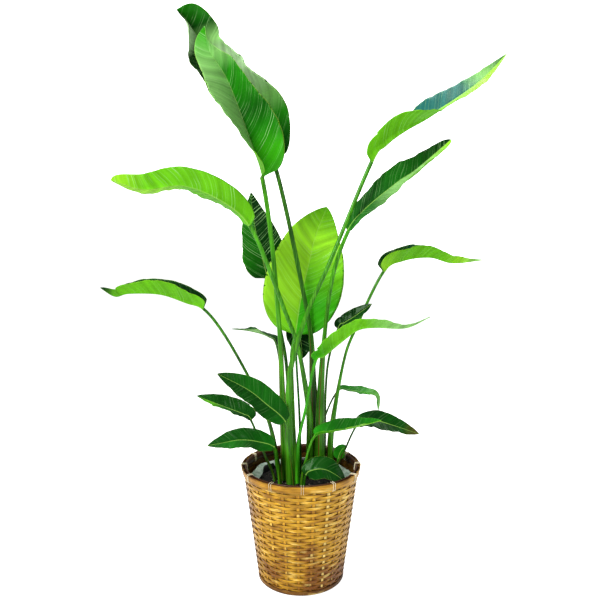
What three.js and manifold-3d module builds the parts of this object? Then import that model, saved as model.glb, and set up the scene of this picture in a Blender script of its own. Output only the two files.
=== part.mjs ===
// Potted bird of paradise (Strelitzia) in a woven bamboo basket.
// Millimetres, +Z up, front towards -Y, origin in the middle of the basket's underside.
import * as THREE from 'three';
import Module from 'manifold-3d';

const wasm = await Module();
wasm.setup();

// ---------------------------------------------------------------- driving sizes
const GAP = 0.3;              // air between two pieces that touch on the real thing

// woven basket: a cone that widens upwards
const BASE_RADIUS = 108;      // outer radius that the cone would have at the floor
const CONE_SLOPE = 0.134;     // outer radius gained per millimetre of height
const WALL = 5;               // thickness of the weave
const FLOOR = 5;              // thickness of the woven floor
const CORNER_RADIUS = 104;    // the bottom corner is drawn in to this radius
const STAKES = 24;            // upright splints
const ROWS = 32;              // weavers going round, one above the other
const ROW_HEIGHT = 8.1;
const WEAVE_START = 13;
const WEAVE_RELIEF = 1.2;     // how far an over-crossing stands out
const RIM_BOTTOM = 273;
const RIM_TOP = 290;
const HOOP = 3;               // thickness of the two rim hoops
const STAKE_PHASE = -3;       // degrees, first stake seen from the front

// lashings that tie the two rim hoops to the weave
const LASHINGS = 12;
const LASHING_PHASE = 1;      // degrees
const LASHING_WIDTH = 5;
const LASHING = 1.2;          // thickness of the cane strip
const SLOT_WIDTH = 6.4;

// bag of plastic film between basket and pot
const FILM = 0.8;
const FILM_COLUMNS = 36;
const FILM_TOP = 257;

// black nursery pot
const POT_BOTTOM = FLOOR + GAP + FILM + GAP;
const POT_BASE_RADIUS = 92;
const POT_TOP_RADIUS = 117;
const POT_LIP_RADIUS = 121;
const POT_LIP_BOTTOM = 248;
const POT_TOP = 258;
const POT_WALL = 2;
const DRAIN_HOLES = 6;

// potting soil
const SOIL_TOP = 244;
const SOIL_RADIUS = 113.5;
const SOIL_COLUMNS = 24;

// leaves
const BLADE = 1.2;            // thickness of a leaf blade
const STALK_SIDES = 6;
const STALK_STEPS = 12;
const SPLINE_STEPS = 16;      // samples between two points of a leaf's spine

const coneRadius = (z) => BASE_RADIUS + CONE_SLOPE * z;

// ---------------------------------------------------------------- leaves
// stalk:  points from the root (in the soil) up to below the blade
// blade:  points of the midrib, from the joint with the stalk to the tip
// width:  full width, laid flat, and shape: how the width swells (root, tip exponents)
// face:   directions that the upper side faces, evenly spaced from joint to tip
// left, right: [fold at joint, fold at tip, curl at joint, curl at tip], degrees, towards
//         the upper side, for the half on each side of the midrib
// wave:   [height, number of waves, phase] of the edge
// thick:  [stalk at the root, stalk at the joint, share of its length that is sheath]
const LEAVES = [
  {
    name: 'leaf_top_front', colour: 0x3f9a34, width: 176, shape: [0.42, 0.8],
    stalk: [[-40, 5, 200], [-42, 2, 300], [-47, -10, 490], [-53, -16, 635], [-70, -25, 845]],
    blade: [[-92, -30, 1000], [-121, -42, 1090], [-165, -65, 1210], [-205, -85, 1275],
      [-212, -98, 1322]],
    face: [[0, -0.95, 0.1], [0, -0.9, 0.3]],
    left: [103, 5, 10, 10], right: [6, 86, 8, 10], wave: [4, 2, 0.5], thick: [19, 11, 0.6],
  },
  {
    name: 'leaf_top_back', colour: 0x2f7f33, width: 180, shape: [0.4, 0.42],
    stalk: [[38, 58, 200], [38, 57, 300], [35, 53, 400], [30, 48, 500], [24, 46, 620],
      [-5, 45, 775], [-40, 47, 940]],
    blade: [[-67, 50, 1044], [-98, 47, 1127], [-138, 40, 1192], [-192, 28, 1257],
      [-232, 8, 1311], [-253, -15, 1341], [-268, -38, 1361], [-281, -60, 1370]],
    face: [[0.34, -0.9, 0.2], [0.44, -0.85, 0.2], [-0.34, -0.9, 0.2], [-0.25, -0.9, 0.2],
      [0.5, -0.85, 0]],
    left: [70, 50, 5, 10], right: [42, 48, 5, 10], wave: [6, 3, 0], thick: [24, 11, 0.6],
  },
  {
    name: 'leaf_left_upper', colour: 0x6fbe35, width: 86, shape: [0.35, 0.45],
    stalk: [[23, 38, 200], [23, 37, 300], [22, 30, 400], [12, 14, 480], [-9, -12, 597],
      [-41, -32, 688], [-72, -48, 775]],
    blade: [[-119, -60, 886], [-177, -75, 941], [-265, -90, 977], [-354, -100, 968],
      [-426, -110, 988]],
    face: [[0, 0.8, 0.6], [0, 0.8, 0.6]],
    left: [35, 35, 10, 10], right: [35, 35, 10, 10], wave: [4, 2, 0], thick: [20, 10, 0.6],
  },
  {
    name: 'leaf_right_top', colour: 0x58ad38, width: 102, shape: [0.55, 0.8],
    stalk: [[-26, -20, 200], [-28, -22, 300], [-30, -34, 490], [-17, -42, 578],
      [17, -44, 686], [70, -40, 805]],
    blade: [[166, -20, 1035], [200, -10, 1078], [249, 0, 1115], [318, 10, 1155],
      [421, 5, 1225], [485, -5, 1290]],
    face: [[-0.49, 0.57, 0.66], [-0.52, 0.5, 0.69], [-0.44, -0.47, 0.76],
      [-0.47, -0.44, 0.77], [-0.48, -0.37, 0.8]],
    left: [30, 14, 10, 10], right: [28, -2, 10, 10], wave: [3, 2, 1], thick: [18, 10, 0.6],
  },
  {
    name: 'leaf_right_second', colour: 0x2c7038, width: 104, shape: [0.45, 0.55],
    stalk: [[48, 30, 200], [48, 30, 300], [50, 32, 445], [58, 24, 600], [77, 6, 760]],
    blade: [[114, -2, 873], [154, -12, 925], [228, -27, 988], [270, -42, 1017],
      [345, -62, 1083]],
    face: [[-0.6, -0.5, 0.55], [-0.6, -0.5, 0.55]],
    left: [5, 5, 5, 5], right: [5, 0, 10, 70], wave: [6, 1.5, 0.75], thick: [26, 10, 0.7],
  },
  {
    name: 'leaf_centre_bright', colour: 0x8fd33a, width: 205, shape: [0.45, 0.75],
    stalk: [[-14, 14, 200], [-16, 15, 300], [-20, 26, 405], [-24, 45, 548]],
    blade: [[-15, 62, 608], [0, 78, 706], [21, 92, 794], [37, 102, 860], [67, 106, 938]],
    face: [[0, -1, 0.1], [0, -1, 0.1]],
    left: [8, 8, 8, 8], right: [8, 8, 8, 8], wave: [4, 2, 0], thick: [13, 10, 0.6],
  },
  {
    name: 'leaf_dark_back_left', colour: 0x1d5a2b, width: 130, shape: [0.35, 0.9],
    stalk: [[-22, 40, 200], [-24, 44, 300], [-34, 75, 477], [-48, 102, 585]],
    blade: [[-90, 130, 750], [-114, 136, 845], [-128, 138, 918], [-132, 136, 978]],
    face: [[0.4, -0.9, 0.1], [0.5, -0.8, 0.1]],
    left: [12, 20, 10, 10], right: [15, 15, 10, 10], wave: [3, 2, 0], thick: [13, 9, 0.6],
  },
  {
    name: 'leaf_left_middle', colour: 0x66b43a, width: 82, shape: [0.35, 0.65],
    stalk: [[-54, 18, 200], [-58, 20, 270], [-80, 22, 388], [-129, 25, 500], [-194, 28, 617]],
    blade: [[-244, 30, 680], [-287, 25, 698], [-350, 15, 720], [-423, 0, 723],
      [-456, -5, 716], [-490, -10, 737]],
    face: [[0.2, 0.1, 1], [0, 0.2, 1]],
    left: [38, 48, 5, 5], right: [84, 45, 5, 5], wave: [3, 2, 0], thick: [15, 8, 0.6],
  },
  {
    name: 'leaf_left_thin', colour: 0x2f6e39, width: 50, shape: [0.45, 0.75],
    stalk: [[-40, 34, 200], [-40, 36, 300], [-48, 48, 470]],
    blade: [[-62, 62, 580], [-86, 72, 605], [-133, 82, 617], [-182, 92, 620]],
    face: [[0, 0.15, 1], [0, 0.05, 1]],
    left: [10, 10, 5, 5], right: [10, 10, 5, 5], wave: [3, 2, 0], thick: [9, 6, 0.6],
  },
  {
    name: 'leaf_centre_hanging', colour: 0x1f5a2c, width: 75, shape: [0.45, 0.75],
    stalk: [[0, 42, 200], [-2, 46, 300], [-4, 60, 400], [-12, 88, 535], [-14, 112, 610]],
    blade: [[-12, 108, 640], [-6, 98, 620], [0, 88, 585], [5, 78, 545]],
    face: [[0, -1, 0.3], [0, -1, 0.3]],
    left: [15, 15, 5, 5], right: [15, 15, 5, 5], wave: [2, 2, 0], thick: [8, 6, 0.6],
  },
  {
    name: 'leaf_low_left_front', colour: 0x1c5e2a, width: 73, shape: [0.45, 0.75],
    stalk: [[-16, -46, 200], [-18, -46, 262], [-28, -49, 345]],
    blade: [[-38, -52, 413], [-87, -70, 466], [-127, -85, 503], [-194, -108, 546]],
    face: [[0.2, -0.8, 0.6], [0.1, -0.8, 0.6]],
    left: [12, 12, 5, 5], right: [12, 12, 5, 5], wave: [3, 2, 0], thick: [9, 6, 0.7],
  },
  {
    name: 'leaf_low_left_back', colour: 0x1f6230, width: 72, shape: [0.45, 0.75],
    stalk: [[-66, -4, 200], [-68, -2, 255], [-92, 6, 310]],
    blade: [[-127, 22, 394], [-148, 32, 407], [-182, 42, 418], [-223, 52, 431],
      [-271, 60, 449]],
    face: [[0.1, -0.1, 1], [0, -0.1, 1]],
    left: [10, 10, 10, 10], right: [35, 35, 5, 5], wave: [2, 2, 0], thick: [8, 6, 0.7],
  },
  {
    name: 'leaf_low_left', colour: 0x236b30, width: 68, shape: [0.45, 0.75],
    stalk: [[-52, -20, 200], [-54, -22, 260], [-60, -26, 300]],
    blade: [[-67, -30, 341], [-106, -42, 360], [-149, -52, 368], [-192, -62, 364],
      [-225, -72, 361]],
    face: [[0, -0.55, 0.85], [0, -0.5, 0.85]],
    left: [12, 12, 5, 5], right: [12, 12, 5, 5], wave: [2, 2, 0], thick: [11, 8, 0.7],
  },
  {
    name: 'leaf_right_cupped', colour: 0x6dbd3f, width: 78, shape: [0.5, 1.3],
    stalk: [[-8, -18, 200], [-9, -18, 270], [-6, -18, 356], [13, -16, 442]],
    blade: [[35, -14, 555], [57, -18, 572], [100, -28, 610], [138, -38, 639],
      [180, -46, 646], [251, -50, 645], [306, -60, 672]],
    face: [[-0.3, 0.27, 1], [0, 0.27, 1]],
    left: [30, 30, 5, 5], right: [30, 30, 5, 5], wave: [2, 2, 0], thick: [12, 8, 0.6],
  },
  {
    name: 'leaf_right_dark', colour: 0x17492a, width: 44, shape: [0.45, 0.75],
    stalk: [[62, 70, 200], [62, 72, 300], [68, 62, 518]],
    blade: [[94, 38, 628], [111, 33, 645], [136, 28, 662], [177, 22, 694]],
    face: [[-0.3, -0.7, 0.6], [-0.3, -0.7, 0.6]],
    left: [15, 15, 5, 5], right: [15, 15, 5, 5], wave: [2, 2, 0], thick: [10, 6, 0.6],
  },
  {
    name: 'leaf_right_arching', colour: 0x5aa93c, width: 76, shape: [0.35, 1.0],
    stalk: [[78, 52, 200], [76, 52, 270], [79, 55, 360], [111, 65, 540], [142, 70, 626]],
    blade: [[212, 80, 770], [264, 86, 801], [333, 88, 809], [393, 88, 794], [477, 92, 801]],
    face: [[-0.2, 0.1, 1], [0, 0.2, 1]],
    left: [62, 58, 5, 5], right: [38, 42, 5, 5], wave: [4, 3, 0], thick: [20, 8, 0.6],
  },
  {
    name: 'leaf_right_folded', colour: 0x3f8240, width: 45, shape: [0.45, 0.75],
    stalk: [[46, 86, 200], [46, 88, 270], [64, 96, 380]],
    blade: [[99, 102, 452], [131, 102, 452], [171, 100, 446], [200, 96, 438],
      [205, 90, 400]],
    face: [[0, 0, 1], [0.8, -0.4, 0.4]],
    left: [15, 15, 5, 5], right: [15, 15, 5, 5], wave: [2, 2, 0], thick: [7, 5, 0.6],
  },
  {
    name: 'leaf_low_right_back', colour: 0x1d602e, width: 56, shape: [0.45, 0.75],
    stalk: [[88, 18, 200], [86, 18, 262], [112, 16, 320]],
    blade: [[142, 8, 387], [178, 0, 402], [217, -10, 396], [293, -22, 374]],
    face: [[0, -0.6, 0.8], [0, -0.6, 0.8]],
    left: [12, 12, 5, 5], right: [12, 12, 5, 5], wave: [2, 2, 0], thick: [8, 5, 0.7],
  },
  {
    name: 'leaf_low_right_front', colour: 0x2c7530, width: 60, shape: [0.45, 0.75],
    stalk: [[2, -40, 200], [2, -40, 262], [12, -42, 315]],
    blade: [[33, -44, 375], [71, -46, 388], [120, -48, 397], [159, -49, 407],
      [195, -50, 417]],
    face: [[0, -0.2, 1], [0, -0.2, 1]],
    left: [30, 30, 5, 5], right: [30, 30, 5, 5], wave: [2, 2, 0], thick: [8, 6, 0.7],
  },
  {
    name: 'leaf_at_rim', colour: 0x1a5428, width: 66, shape: [0.45, 0.75],
    stalk: [[6, -62, 200], [6, -62, 240]],
    blade: [[12, -62, 284], [30, -66, 298], [56, -72, 302], [82, -78, 292],
      [106, -78, 274]],
    face: [[0.1, -0.6, 0.8], [0.1, -0.6, 0.8]],
    left: [12, 12, 5, 5], right: [12, 12, 5, 5], wave: [2, 2, 0], thick: [8, 6, 0.7],
  },
  {
    name: 'young_shoot', colour: 0x3f8a34, width: 34, shape: [0.45, 0.75],
    stalk: [[94, 36, 200], [94, 36, 255]],
    blade: [[97, 39, 288], [102, 41, 304], [110, 43, 314], [121, 44, 319]],
    face: [[0, -0.5, 0.8], [0, -0.5, 0.8]],
    left: [15, 15, 5, 5], right: [15, 15, 5, 5], wave: [1, 2, 0], thick: [9, 6, 0.7],
  },
];

// ---------------------------------------------------------------- small helpers
const vector = (p) => new THREE.Vector3(p[0], p[1], p[2]);
const radians = THREE.MathUtils.degToRad;
const mix = THREE.MathUtils.lerp;

class Solid {
  constructor() {
    this.points = [];
    this.triangles = [];
  }

  add(point) {
    this.points.push(point);
    return this.points.length - 1;
  }

  face(a, b, c) {
    this.triangles.push([a, b, c]);
  }

  // two triangles; flip chooses the diagonal
  quad(a, b, c, d, flip = false) {
    if (flip) {
      this.face(a, b, c);
      this.face(a, c, d);
    } else {
      this.face(a, b, d);
      this.face(b, c, d);
    }
  }

  manifold() {
    const vertProperties = new Float32Array(this.points.flatMap((p) => [p.x, p.y, p.z]));
    const triVerts = new Uint32Array(this.triangles.flat());
    return new wasm.Manifold(new wasm.Mesh({ numProp: 3, vertProperties, triVerts }));
  }

  geometry() {
    const geometry = new THREE.BufferGeometry();
    const places = new Float32Array(this.points.flatMap((p) => [p.x, p.y, p.z]));
    geometry.setAttribute('position', new THREE.BufferAttribute(places, 3));
    geometry.setIndex(this.triangles.flat());
    return geometry;
  }
}

function manifoldGeometry(solid) {
  const mesh = solid.getMesh();
  const geometry = new THREE.BufferGeometry();
  const places = new Float32Array(mesh.numVert * 3);
  for (let i = 0; i < mesh.numVert; i += 1) {
    places[3 * i] = mesh.vertProperties[mesh.numProp * i];
    places[3 * i + 1] = mesh.vertProperties[mesh.numProp * i + 1];
    places[3 * i + 2] = mesh.vertProperties[mesh.numProp * i + 2];
  }
  geometry.setAttribute('position', new THREE.BufferAttribute(places, 3));
  geometry.setIndex(Array.from(mesh.triVerts));
  return geometry;
}

// a ring of points for every [radius, z] of the profile; bump(column, row) moves the radius
// and lift(column, row) the height. A radius of 0 closes the solid with a fan.
function turned(profile, columns, options = {}) {
  const { closed = false, phase = 0, bump = () => 0, lift = () => 0 } = options;
  const solid = new Solid();
  const rows = profile.map(([radius, z], row) => {
    if (radius === 0) {
      return [solid.add(new THREE.Vector3(0, 0, z))];
    }
    return Array.from({ length: columns }, (_, column) => {
      const angle = radians(phase) + (2 * Math.PI * column) / columns;
      const r = radius + bump(column, row);
      const height = z + lift(column, row);
      return solid.add(new THREE.Vector3(r * Math.sin(angle), -r * Math.cos(angle), height));
    });
  });
  const pairs = closed ? rows.length : rows.length - 1;
  for (let row = 0; row < pairs; row += 1) {
    const low = rows[row];
    const high = rows[(row + 1) % rows.length];
    for (let column = 0; column < columns; column += 1) {
      const next = (column + 1) % columns;
      if (low.length === 1) {
        solid.face(low[0], high[next], high[column]);
      } else if (high.length === 1) {
        solid.face(low[column], low[next], high[0]);
      } else {
        solid.quad(low[column], low[next], high[next], high[column], (row + column) % 2 === 0);
      }
    }
  }
  return solid;
}

// ---------------------------------------------------------------- leaf geometry
// evenly spaced points along a Catmull-Rom line, between two of its points
function spine(points, first, last, steps) {
  const before = points[0].clone().multiplyScalar(2).sub(points[1]);
  const end = points.length - 1;
  const after = points[end].clone().multiplyScalar(2).sub(points[end - 1]);
  const line = [before, ...points, after];
  const fine = [];
  for (let i = first; i < last; i += 1) {
    const [a, b, c, d] = line.slice(i, i + 4);
    for (let k = 0; k < SPLINE_STEPS; k += 1) {
      const t = k / SPLINE_STEPS;
      const point = b.clone().multiplyScalar(2);
      point.addScaledVector(c.clone().sub(a), t);
      point.addScaledVector(a, 2 * t * t).addScaledVector(b, -5 * t * t);
      point.addScaledVector(c, 4 * t * t).addScaledVector(d, -t * t);
      point.addScaledVector(b, 3 * t ** 3).addScaledVector(a, -(t ** 3));
      point.addScaledVector(c, -3 * t ** 3).addScaledVector(d, t ** 3);
      fine.push(point.multiplyScalar(0.5));
    }
  }
  fine.push(points[last].clone());
  const run = [0];
  for (let i = 1; i < fine.length; i += 1) {
    run.push(run[i - 1] + fine[i].distanceTo(fine[i - 1]));
  }
  const spread = [];
  let at = 0;
  for (let k = 0; k <= steps; k += 1) {
    const target = (run[run.length - 1] * k) / steps;
    while (at < run.length - 2 && run[at + 1] <= target) {
      at += 1;
    }
    const share = (target - run[at]) / (run[at + 1] - run[at]);
    spread.push(fine[at].clone().lerp(fine[at + 1], share));
  }
  return spread;
}

function tangents(points) {
  return points.map((_, i) => {
    const ahead = points[Math.min(points.length - 1, i + 1)];
    const behind = points[Math.max(0, i - 1)];
    return ahead.clone().sub(behind).normalize();
  });
}

function squareTo(direction, axis) {
  return direction.clone().addScaledVector(axis, -direction.dot(axis)).normalize();
}

// width of the blade at s (0 joint, 1 tip), as a share of its widest
function swelling(s, [root, tip]) {
  if (s <= 0 || s >= 1) {
    return 0;
  }
  const peak = root / (root + tip);
  return (s ** root * (1 - s) ** tip) / (peak ** root * (1 - peak) ** tip);
}

function facing(leaf, s) {
  const along = s * (leaf.face.length - 1);
  const i = Math.min(Math.floor(along), leaf.face.length - 2);
  const from = vector(leaf.face[i]).normalize();
  const to = vector(leaf.face[i + 1]).normalize();
  return from.lerp(to, along - i);
}

// rings of the leaf stalk, from below the joint down to the root; extra widens them
function stalkRings(leaf, solid, extra = 0) {
  const joints = [...leaf.stalk, ...leaf.blade].map(vector);
  const line = spine(joints, 0, leaf.stalk.length, STALK_STEPS);
  const blade = spine(joints, leaf.stalk.length, joints.length - 1, bladeSteps(leaf));
  const along = tangents(line);
  const last = line.length - 1;
  along[last] = blade[1].clone().sub(line[last - 1]).normalize();
  const [rootSize, jointSize, sheath] = leaf.thick;
  let up = squareTo(facing(leaf, 0), along[last]);
  const rings = [];
  for (let i = last - 1; i >= 0; i -= 1) {
    up = squareTo(up, along[i]);
    const side = along[i].clone().cross(up);
    const share = i / last;
    const slim = THREE.MathUtils.smoothstep(share, 0.1, sheath);
    const size = mix(rootSize, jointSize, slim) + extra;
    const radius = size / 2 / Math.sqrt(Math.cos(Math.PI / STALK_SIDES));
    rings.push(Array.from({ length: STALK_SIDES }, (_, k) => {
      const angle = (2 * Math.PI * k) / STALK_SIDES;
      const point = line[i].clone();
      point.addScaledVector(up, radius * Math.cos(angle));
      point.addScaledVector(side, radius * Math.sin(angle));
      return solid.add(point);
    }));
  }
  for (let i = 0; i < rings.length - 1; i += 1) {
    for (let k = 0; k < STALK_SIDES; k += 1) {
      const next = (k + 1) % STALK_SIDES;
      solid.quad(rings[i][k], rings[i + 1][k], rings[i + 1][next], rings[i][next], true);
    }
  }
  const foot = rings[rings.length - 1];
  for (let k = 1; k < STALK_SIDES - 1; k += 1) {
    solid.face(foot[0], foot[k + 1], foot[k]);
  }
  return { rings, centre: line[last], along: along[last] };
}

function bladeSteps(leaf) {
  return leaf.width >= 100 ? 12 : 9;
}

// one leaf: a blade folded along its midrib, with a keel under it, on its stalk
function leafSolid(leaf) {
  const solid = new Solid();
  const steps = bladeSteps(leaf);
  const half = leaf.width >= 100 ? 4 : 3;
  const row = 2 * half + 1;
  const joints = [...leaf.stalk, ...leaf.blade].map(vector);
  const midrib = spine(joints, leaf.stalk.length, joints.length - 1, steps);
  const before = spine(joints, 0, leaf.stalk.length, STALK_STEPS)[STALK_STEPS - 1];
  const along = tangents(midrib);
  along[0] = midrib[1].clone().sub(before).normalize();
  const jointRadius = leaf.thick[1] / 2;
  const [waveHeight, waves, wavePhase] = leaf.wave;
  const top = [];
  const bottom = [];
  for (let i = 0; i <= steps; i += 1) {
    const s = i / steps;
    const up = squareTo(facing(leaf, s), along[i]);
    const side = along[i].clone().cross(up);
    const least = i === 0 ? jointRadius : 1.6;
    const reach = Math.max((leaf.width / 2) * swelling(s, leaf.shape), least);
    let keel = jointRadius * (1 - s) ** 0.7 * 0.9 + 0.6;
    if (i > 0) {
      keel = Math.min(keel, reach * 0.6);
    }
    const keelShare = Math.min(keel / reach, 0.5);
    const raised = midrib[i].clone().addScaledVector(up, keel / 2);
    const calm = i === 0 || i === steps ? 0 : Math.sin(Math.PI * Math.min(1, s * 1.05)) ** 0.7;
    const upper = new Array(row);
    const lower = new Array(row);
    [[-1, leaf.left], [1, leaf.right]].forEach(([sign, wing]) => {
      const fold = radians(mix(wing[0], wing[1], s));
      const bend = radians(mix(wing[2], wing[3], s)) / (leaf.width / 2);
      for (let k = 1; k <= half; k += 1) {
        const out = mix(keelShare, 1, (k - 1) / (half - 1));
        const angle = fold + bend * out * reach;
        const across = (Math.sin(angle) - Math.sin(fold)) / bend;
        const rise = (Math.cos(fold) - Math.cos(angle)) / bend;
        const normal = up.clone().multiplyScalar(Math.cos(angle));
        normal.addScaledVector(side, -sign * Math.sin(angle));
        const turn = 2 * Math.PI * waves * s + wavePhase + (sign > 0 ? 0 : 1.9);
        const wave = waveHeight * calm * out * out * Math.sin(turn);
        const point = raised.clone().addScaledVector(side, sign * across);
        point.addScaledVector(up, rise).addScaledVector(normal, wave);
        upper[half + sign * k] = point.clone().addScaledVector(normal, BLADE / 2);
        lower[half + sign * k] = point.clone().addScaledVector(normal, -BLADE / 2);
      }
    });
    upper[half] = raised.clone().addScaledVector(up, BLADE / 2);
    lower[half] = midrib[i].clone().addScaledVector(up, -keel);
    top.push(upper.map((p) => solid.add(p)));
    bottom.push(lower.map((p) => solid.add(p)));
  }
  for (let i = 0; i < steps; i += 1) {
    for (let k = 0; k < row - 1; k += 1) {
      const flip = (i + k) % 2 === 1;
      solid.quad(top[i][k], top[i][k + 1], top[i + 1][k + 1], top[i + 1][k], flip);
      const under = [bottom[i][k], bottom[i][k + 1], bottom[i + 1][k + 1], bottom[i + 1][k]];
      if (flip) {
        solid.face(under[0], under[3], under[2]);
        solid.face(under[0], under[2], under[1]);
      } else {
        solid.face(under[0], under[3], under[1]);
        solid.face(under[1], under[3], under[2]);
      }
    }
    const end = row - 1;
    solid.quad(bottom[i][0], top[i][0], top[i + 1][0], bottom[i + 1][0], true);
    solid.quad(top[i][end], bottom[i][end], bottom[i + 1][end], top[i + 1][end], true);
  }
  for (let k = 0; k < row - 1; k += 1) {
    solid.quad(top[steps][k], top[steps][k + 1], bottom[steps][k + 1], bottom[steps][k], true);
  }
  const { rings, centre, along: axis } = stalkRings(leaf, solid);
  const collar = [...top[0], ...bottom[0].slice().reverse()];
  stitch(solid, collar, rings[0], centre, axis, squareTo(facing(leaf, 0), axis));
  return solid;
}

// joins two rings of different counts, both running from 'up' round to 'side'
function stitch(solid, upper, lower, centre, axis, up) {
  const side = axis.clone().cross(up);
  const lowerCentre = new THREE.Vector3();
  lower.forEach((id) => lowerCentre.addScaledVector(solid.points[id], 1 / lower.length));
  const angleOf = (id, middle) => {
    const arm = solid.points[id].clone().sub(middle);
    return Math.atan2(arm.dot(side), arm.dot(up));
  };
  const sizes = upper.map((id) => Math.abs(angleOf(id, centre)));
  const start = sizes.indexOf(Math.min(...sizes));
  const loop = [...upper.slice(start), ...upper.slice(0, start)];
  const turnsOf = (ids, middle) => {
    const turns = ids.map((id) => angleOf(id, middle));
    for (let i = 1; i < turns.length; i += 1) {
      while (turns[i] < turns[i - 1] - Math.PI) {
        turns[i] += 2 * Math.PI;
      }
    }
    return [...turns, turns[0] + 2 * Math.PI];
  };
  const a = turnsOf(loop, centre);
  const b = turnsOf(lower, lowerCentre);
  let i = 0;
  let j = 0;
  while (i < loop.length || j < lower.length) {
    const upperTurn = i < loop.length ? (a[i] + a[i + 1]) / 2 : Infinity;
    const lowerTurn = j < lower.length ? (b[j] + b[j + 1]) / 2 : Infinity;
    if (upperTurn <= lowerTurn) {
      solid.face(loop[i % loop.length], lower[j % lower.length], loop[(i + 1) % loop.length]);
      i += 1;
    } else {
      solid.face(lower[j % lower.length], lower[(j + 1) % lower.length], loop[i % loop.length]);
      j += 1;
    }
  }
}

// the stalk alone, a little wider, to cut its hole in the soil
function stalkHole(leaf) {
  const solid = new Solid();
  const { rings } = stalkRings(leaf, solid, 2 * GAP + 0.2);
  for (let k = 1; k < STALK_SIDES - 1; k += 1) {
    solid.face(rings[0][0], rings[0][k], rings[0][k + 1]);
  }
  return solid.manifold();
}

// ---------------------------------------------------------------- basket and what it holds
const WEAVE_END = WEAVE_START + ROWS * ROW_HEIGHT;

function basketWall() {
  const profile = [[0, 0], [CORNER_RADIUS - 4, 0], [CORNER_RADIUS, 2], [CORNER_RADIUS + 2.5, 12]];
  const firstRow = profile.length;
  for (let row = 0; row <= ROWS; row += 1) {
    const z = WEAVE_START + row * ROW_HEIGHT;
    profile.push([coneRadius(z), z]);
  }
  profile.push([coneRadius(RIM_TOP - 2), RIM_TOP - 2]);
  profile.push([coneRadius(RIM_TOP - 2) - WALL, RIM_TOP - 2]);
  profile.push([coneRadius(FLOOR) - WALL - 1, FLOOR], [0, FLOOR]);
  const bump = (column, row) => {
    const woven = row > firstRow && row < firstRow + ROWS;
    return woven ? WEAVE_RELIEF * (-1) ** (column + row) : 0;
  };
  const wall = turned(profile, STAKES, { phase: STAKE_PHASE, bump }).manifold();
  const z = RIM_BOTTOM - GAP - LASHING / 2;
  const slots = lashingAngles().map((angle) => {
    const height = LASHING + 2 * GAP;
    const slot = wasm.Manifold.cube([SLOT_WIDTH, 4 * WALL, height], true);
    return slot.translate([0, -(coneRadius(z) - WALL / 2), z]).rotate([0, 0, angle]);
  });
  return manifoldGeometry(slots.reduce((rest, slot) => rest.subtract(slot), wall));
}

function lashingAngles() {
  return Array.from({ length: LASHINGS }, (_, i) => LASHING_PHASE + (360 / LASHINGS) * i);
}

function hoop(low, high, innerAtLow, innerAtHigh, thickness, columns) {
  const profile = [
    [innerAtLow, low],
    [innerAtLow + thickness, low],
    [innerAtHigh + thickness, high],
    [innerAtHigh, high],
  ];
  return turned(profile, columns, { closed: true, phase: STAKE_PHASE }).geometry();
}

// the wall's inner side is flat between stakes, so the inner hoop stands inside its flats
const flatShare = Math.cos(Math.PI / STAKES);
const innerHoopOutside = (z) => (coneRadius(z) - WALL) * flatShare - GAP;

// a closed strip round both hoops, leaning with the cone
function lashing(angle) {
  const low = RIM_BOTTOM - GAP;
  const high = RIM_TOP + GAP;
  const inside = (z) => innerHoopOutside(z) - HOOP - GAP;
  const outside = (z) => coneRadius(z) + GAP + HOOP + GAP;
  const window = [[inside(low), low], [outside(low), low], [outside(high), high],
    [inside(high), high]];
  const frame = [
    [inside(low) - LASHING, low - LASHING],
    [outside(low) + LASHING, low - LASHING],
    [outside(high) + LASHING, high + LASHING],
    [inside(high) - LASHING, high + LASHING],
  ];
  const solid = new Solid();
  const rings = [-0.5, 0.5].map((across) => [frame, window].map((ring) => ring.map(([r, z]) => (
    solid.add(new THREE.Vector3(across * LASHING_WIDTH, -r, z))
  ))));
  const [[frameLeft, windowLeft], [frameRight, windowRight]] = rings;
  for (let k = 0; k < 4; k += 1) {
    const next = (k + 1) % 4;
    solid.quad(frameLeft[k], frameRight[k], frameRight[next], frameLeft[next], true);
    solid.quad(windowLeft[k], windowLeft[next], windowRight[next], windowRight[k], true);
    solid.quad(frameLeft[k], frameLeft[next], windowLeft[next], windowLeft[k], true);
    solid.quad(frameRight[k], windowRight[k], windowRight[next], frameRight[next], true);
  }
  const geometry = solid.geometry();
  geometry.rotateZ(radians(angle));
  return geometry;
}

// crumpled film: folds grow towards its loose upper edge
function filmBag() {
  const wall = [[97, 12], [103, 80], [111, 150], [119, 215], [129, FILM_TOP]];
  const inner = wall.map(([r, z]) => [r - FILM, z]).reverse();
  const bottom = FLOOR + GAP;
  const profile = [[0, bottom], [95, bottom], ...wall, ...inner, [94.5, bottom + FILM],
    [0, bottom + FILM]];
  const level = (row) => {
    const z = profile[row][1];
    return Math.max(0, (z - 80) / (FILM_TOP - 80));
  };
  const bump = (column, row) => {
    const turn = (2 * Math.PI * column) / FILM_COLUMNS;
    const fold = 2.4 * Math.sin(5 * turn + 0.6) + 1.6 * Math.sin(11 * turn + level(row));
    return fold * level(row) ** 1.5;
  };
  const lift = (column, row) => {
    const turn = (2 * Math.PI * column) / FILM_COLUMNS;
    const edge = 4 * Math.sin(3 * turn + 1) + 2.5 * Math.sin(8 * turn);
    return level(row) >= 1 ? edge : 0;
  };
  return turned(profile, FILM_COLUMNS, { bump, lift }).geometry();
}

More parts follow.
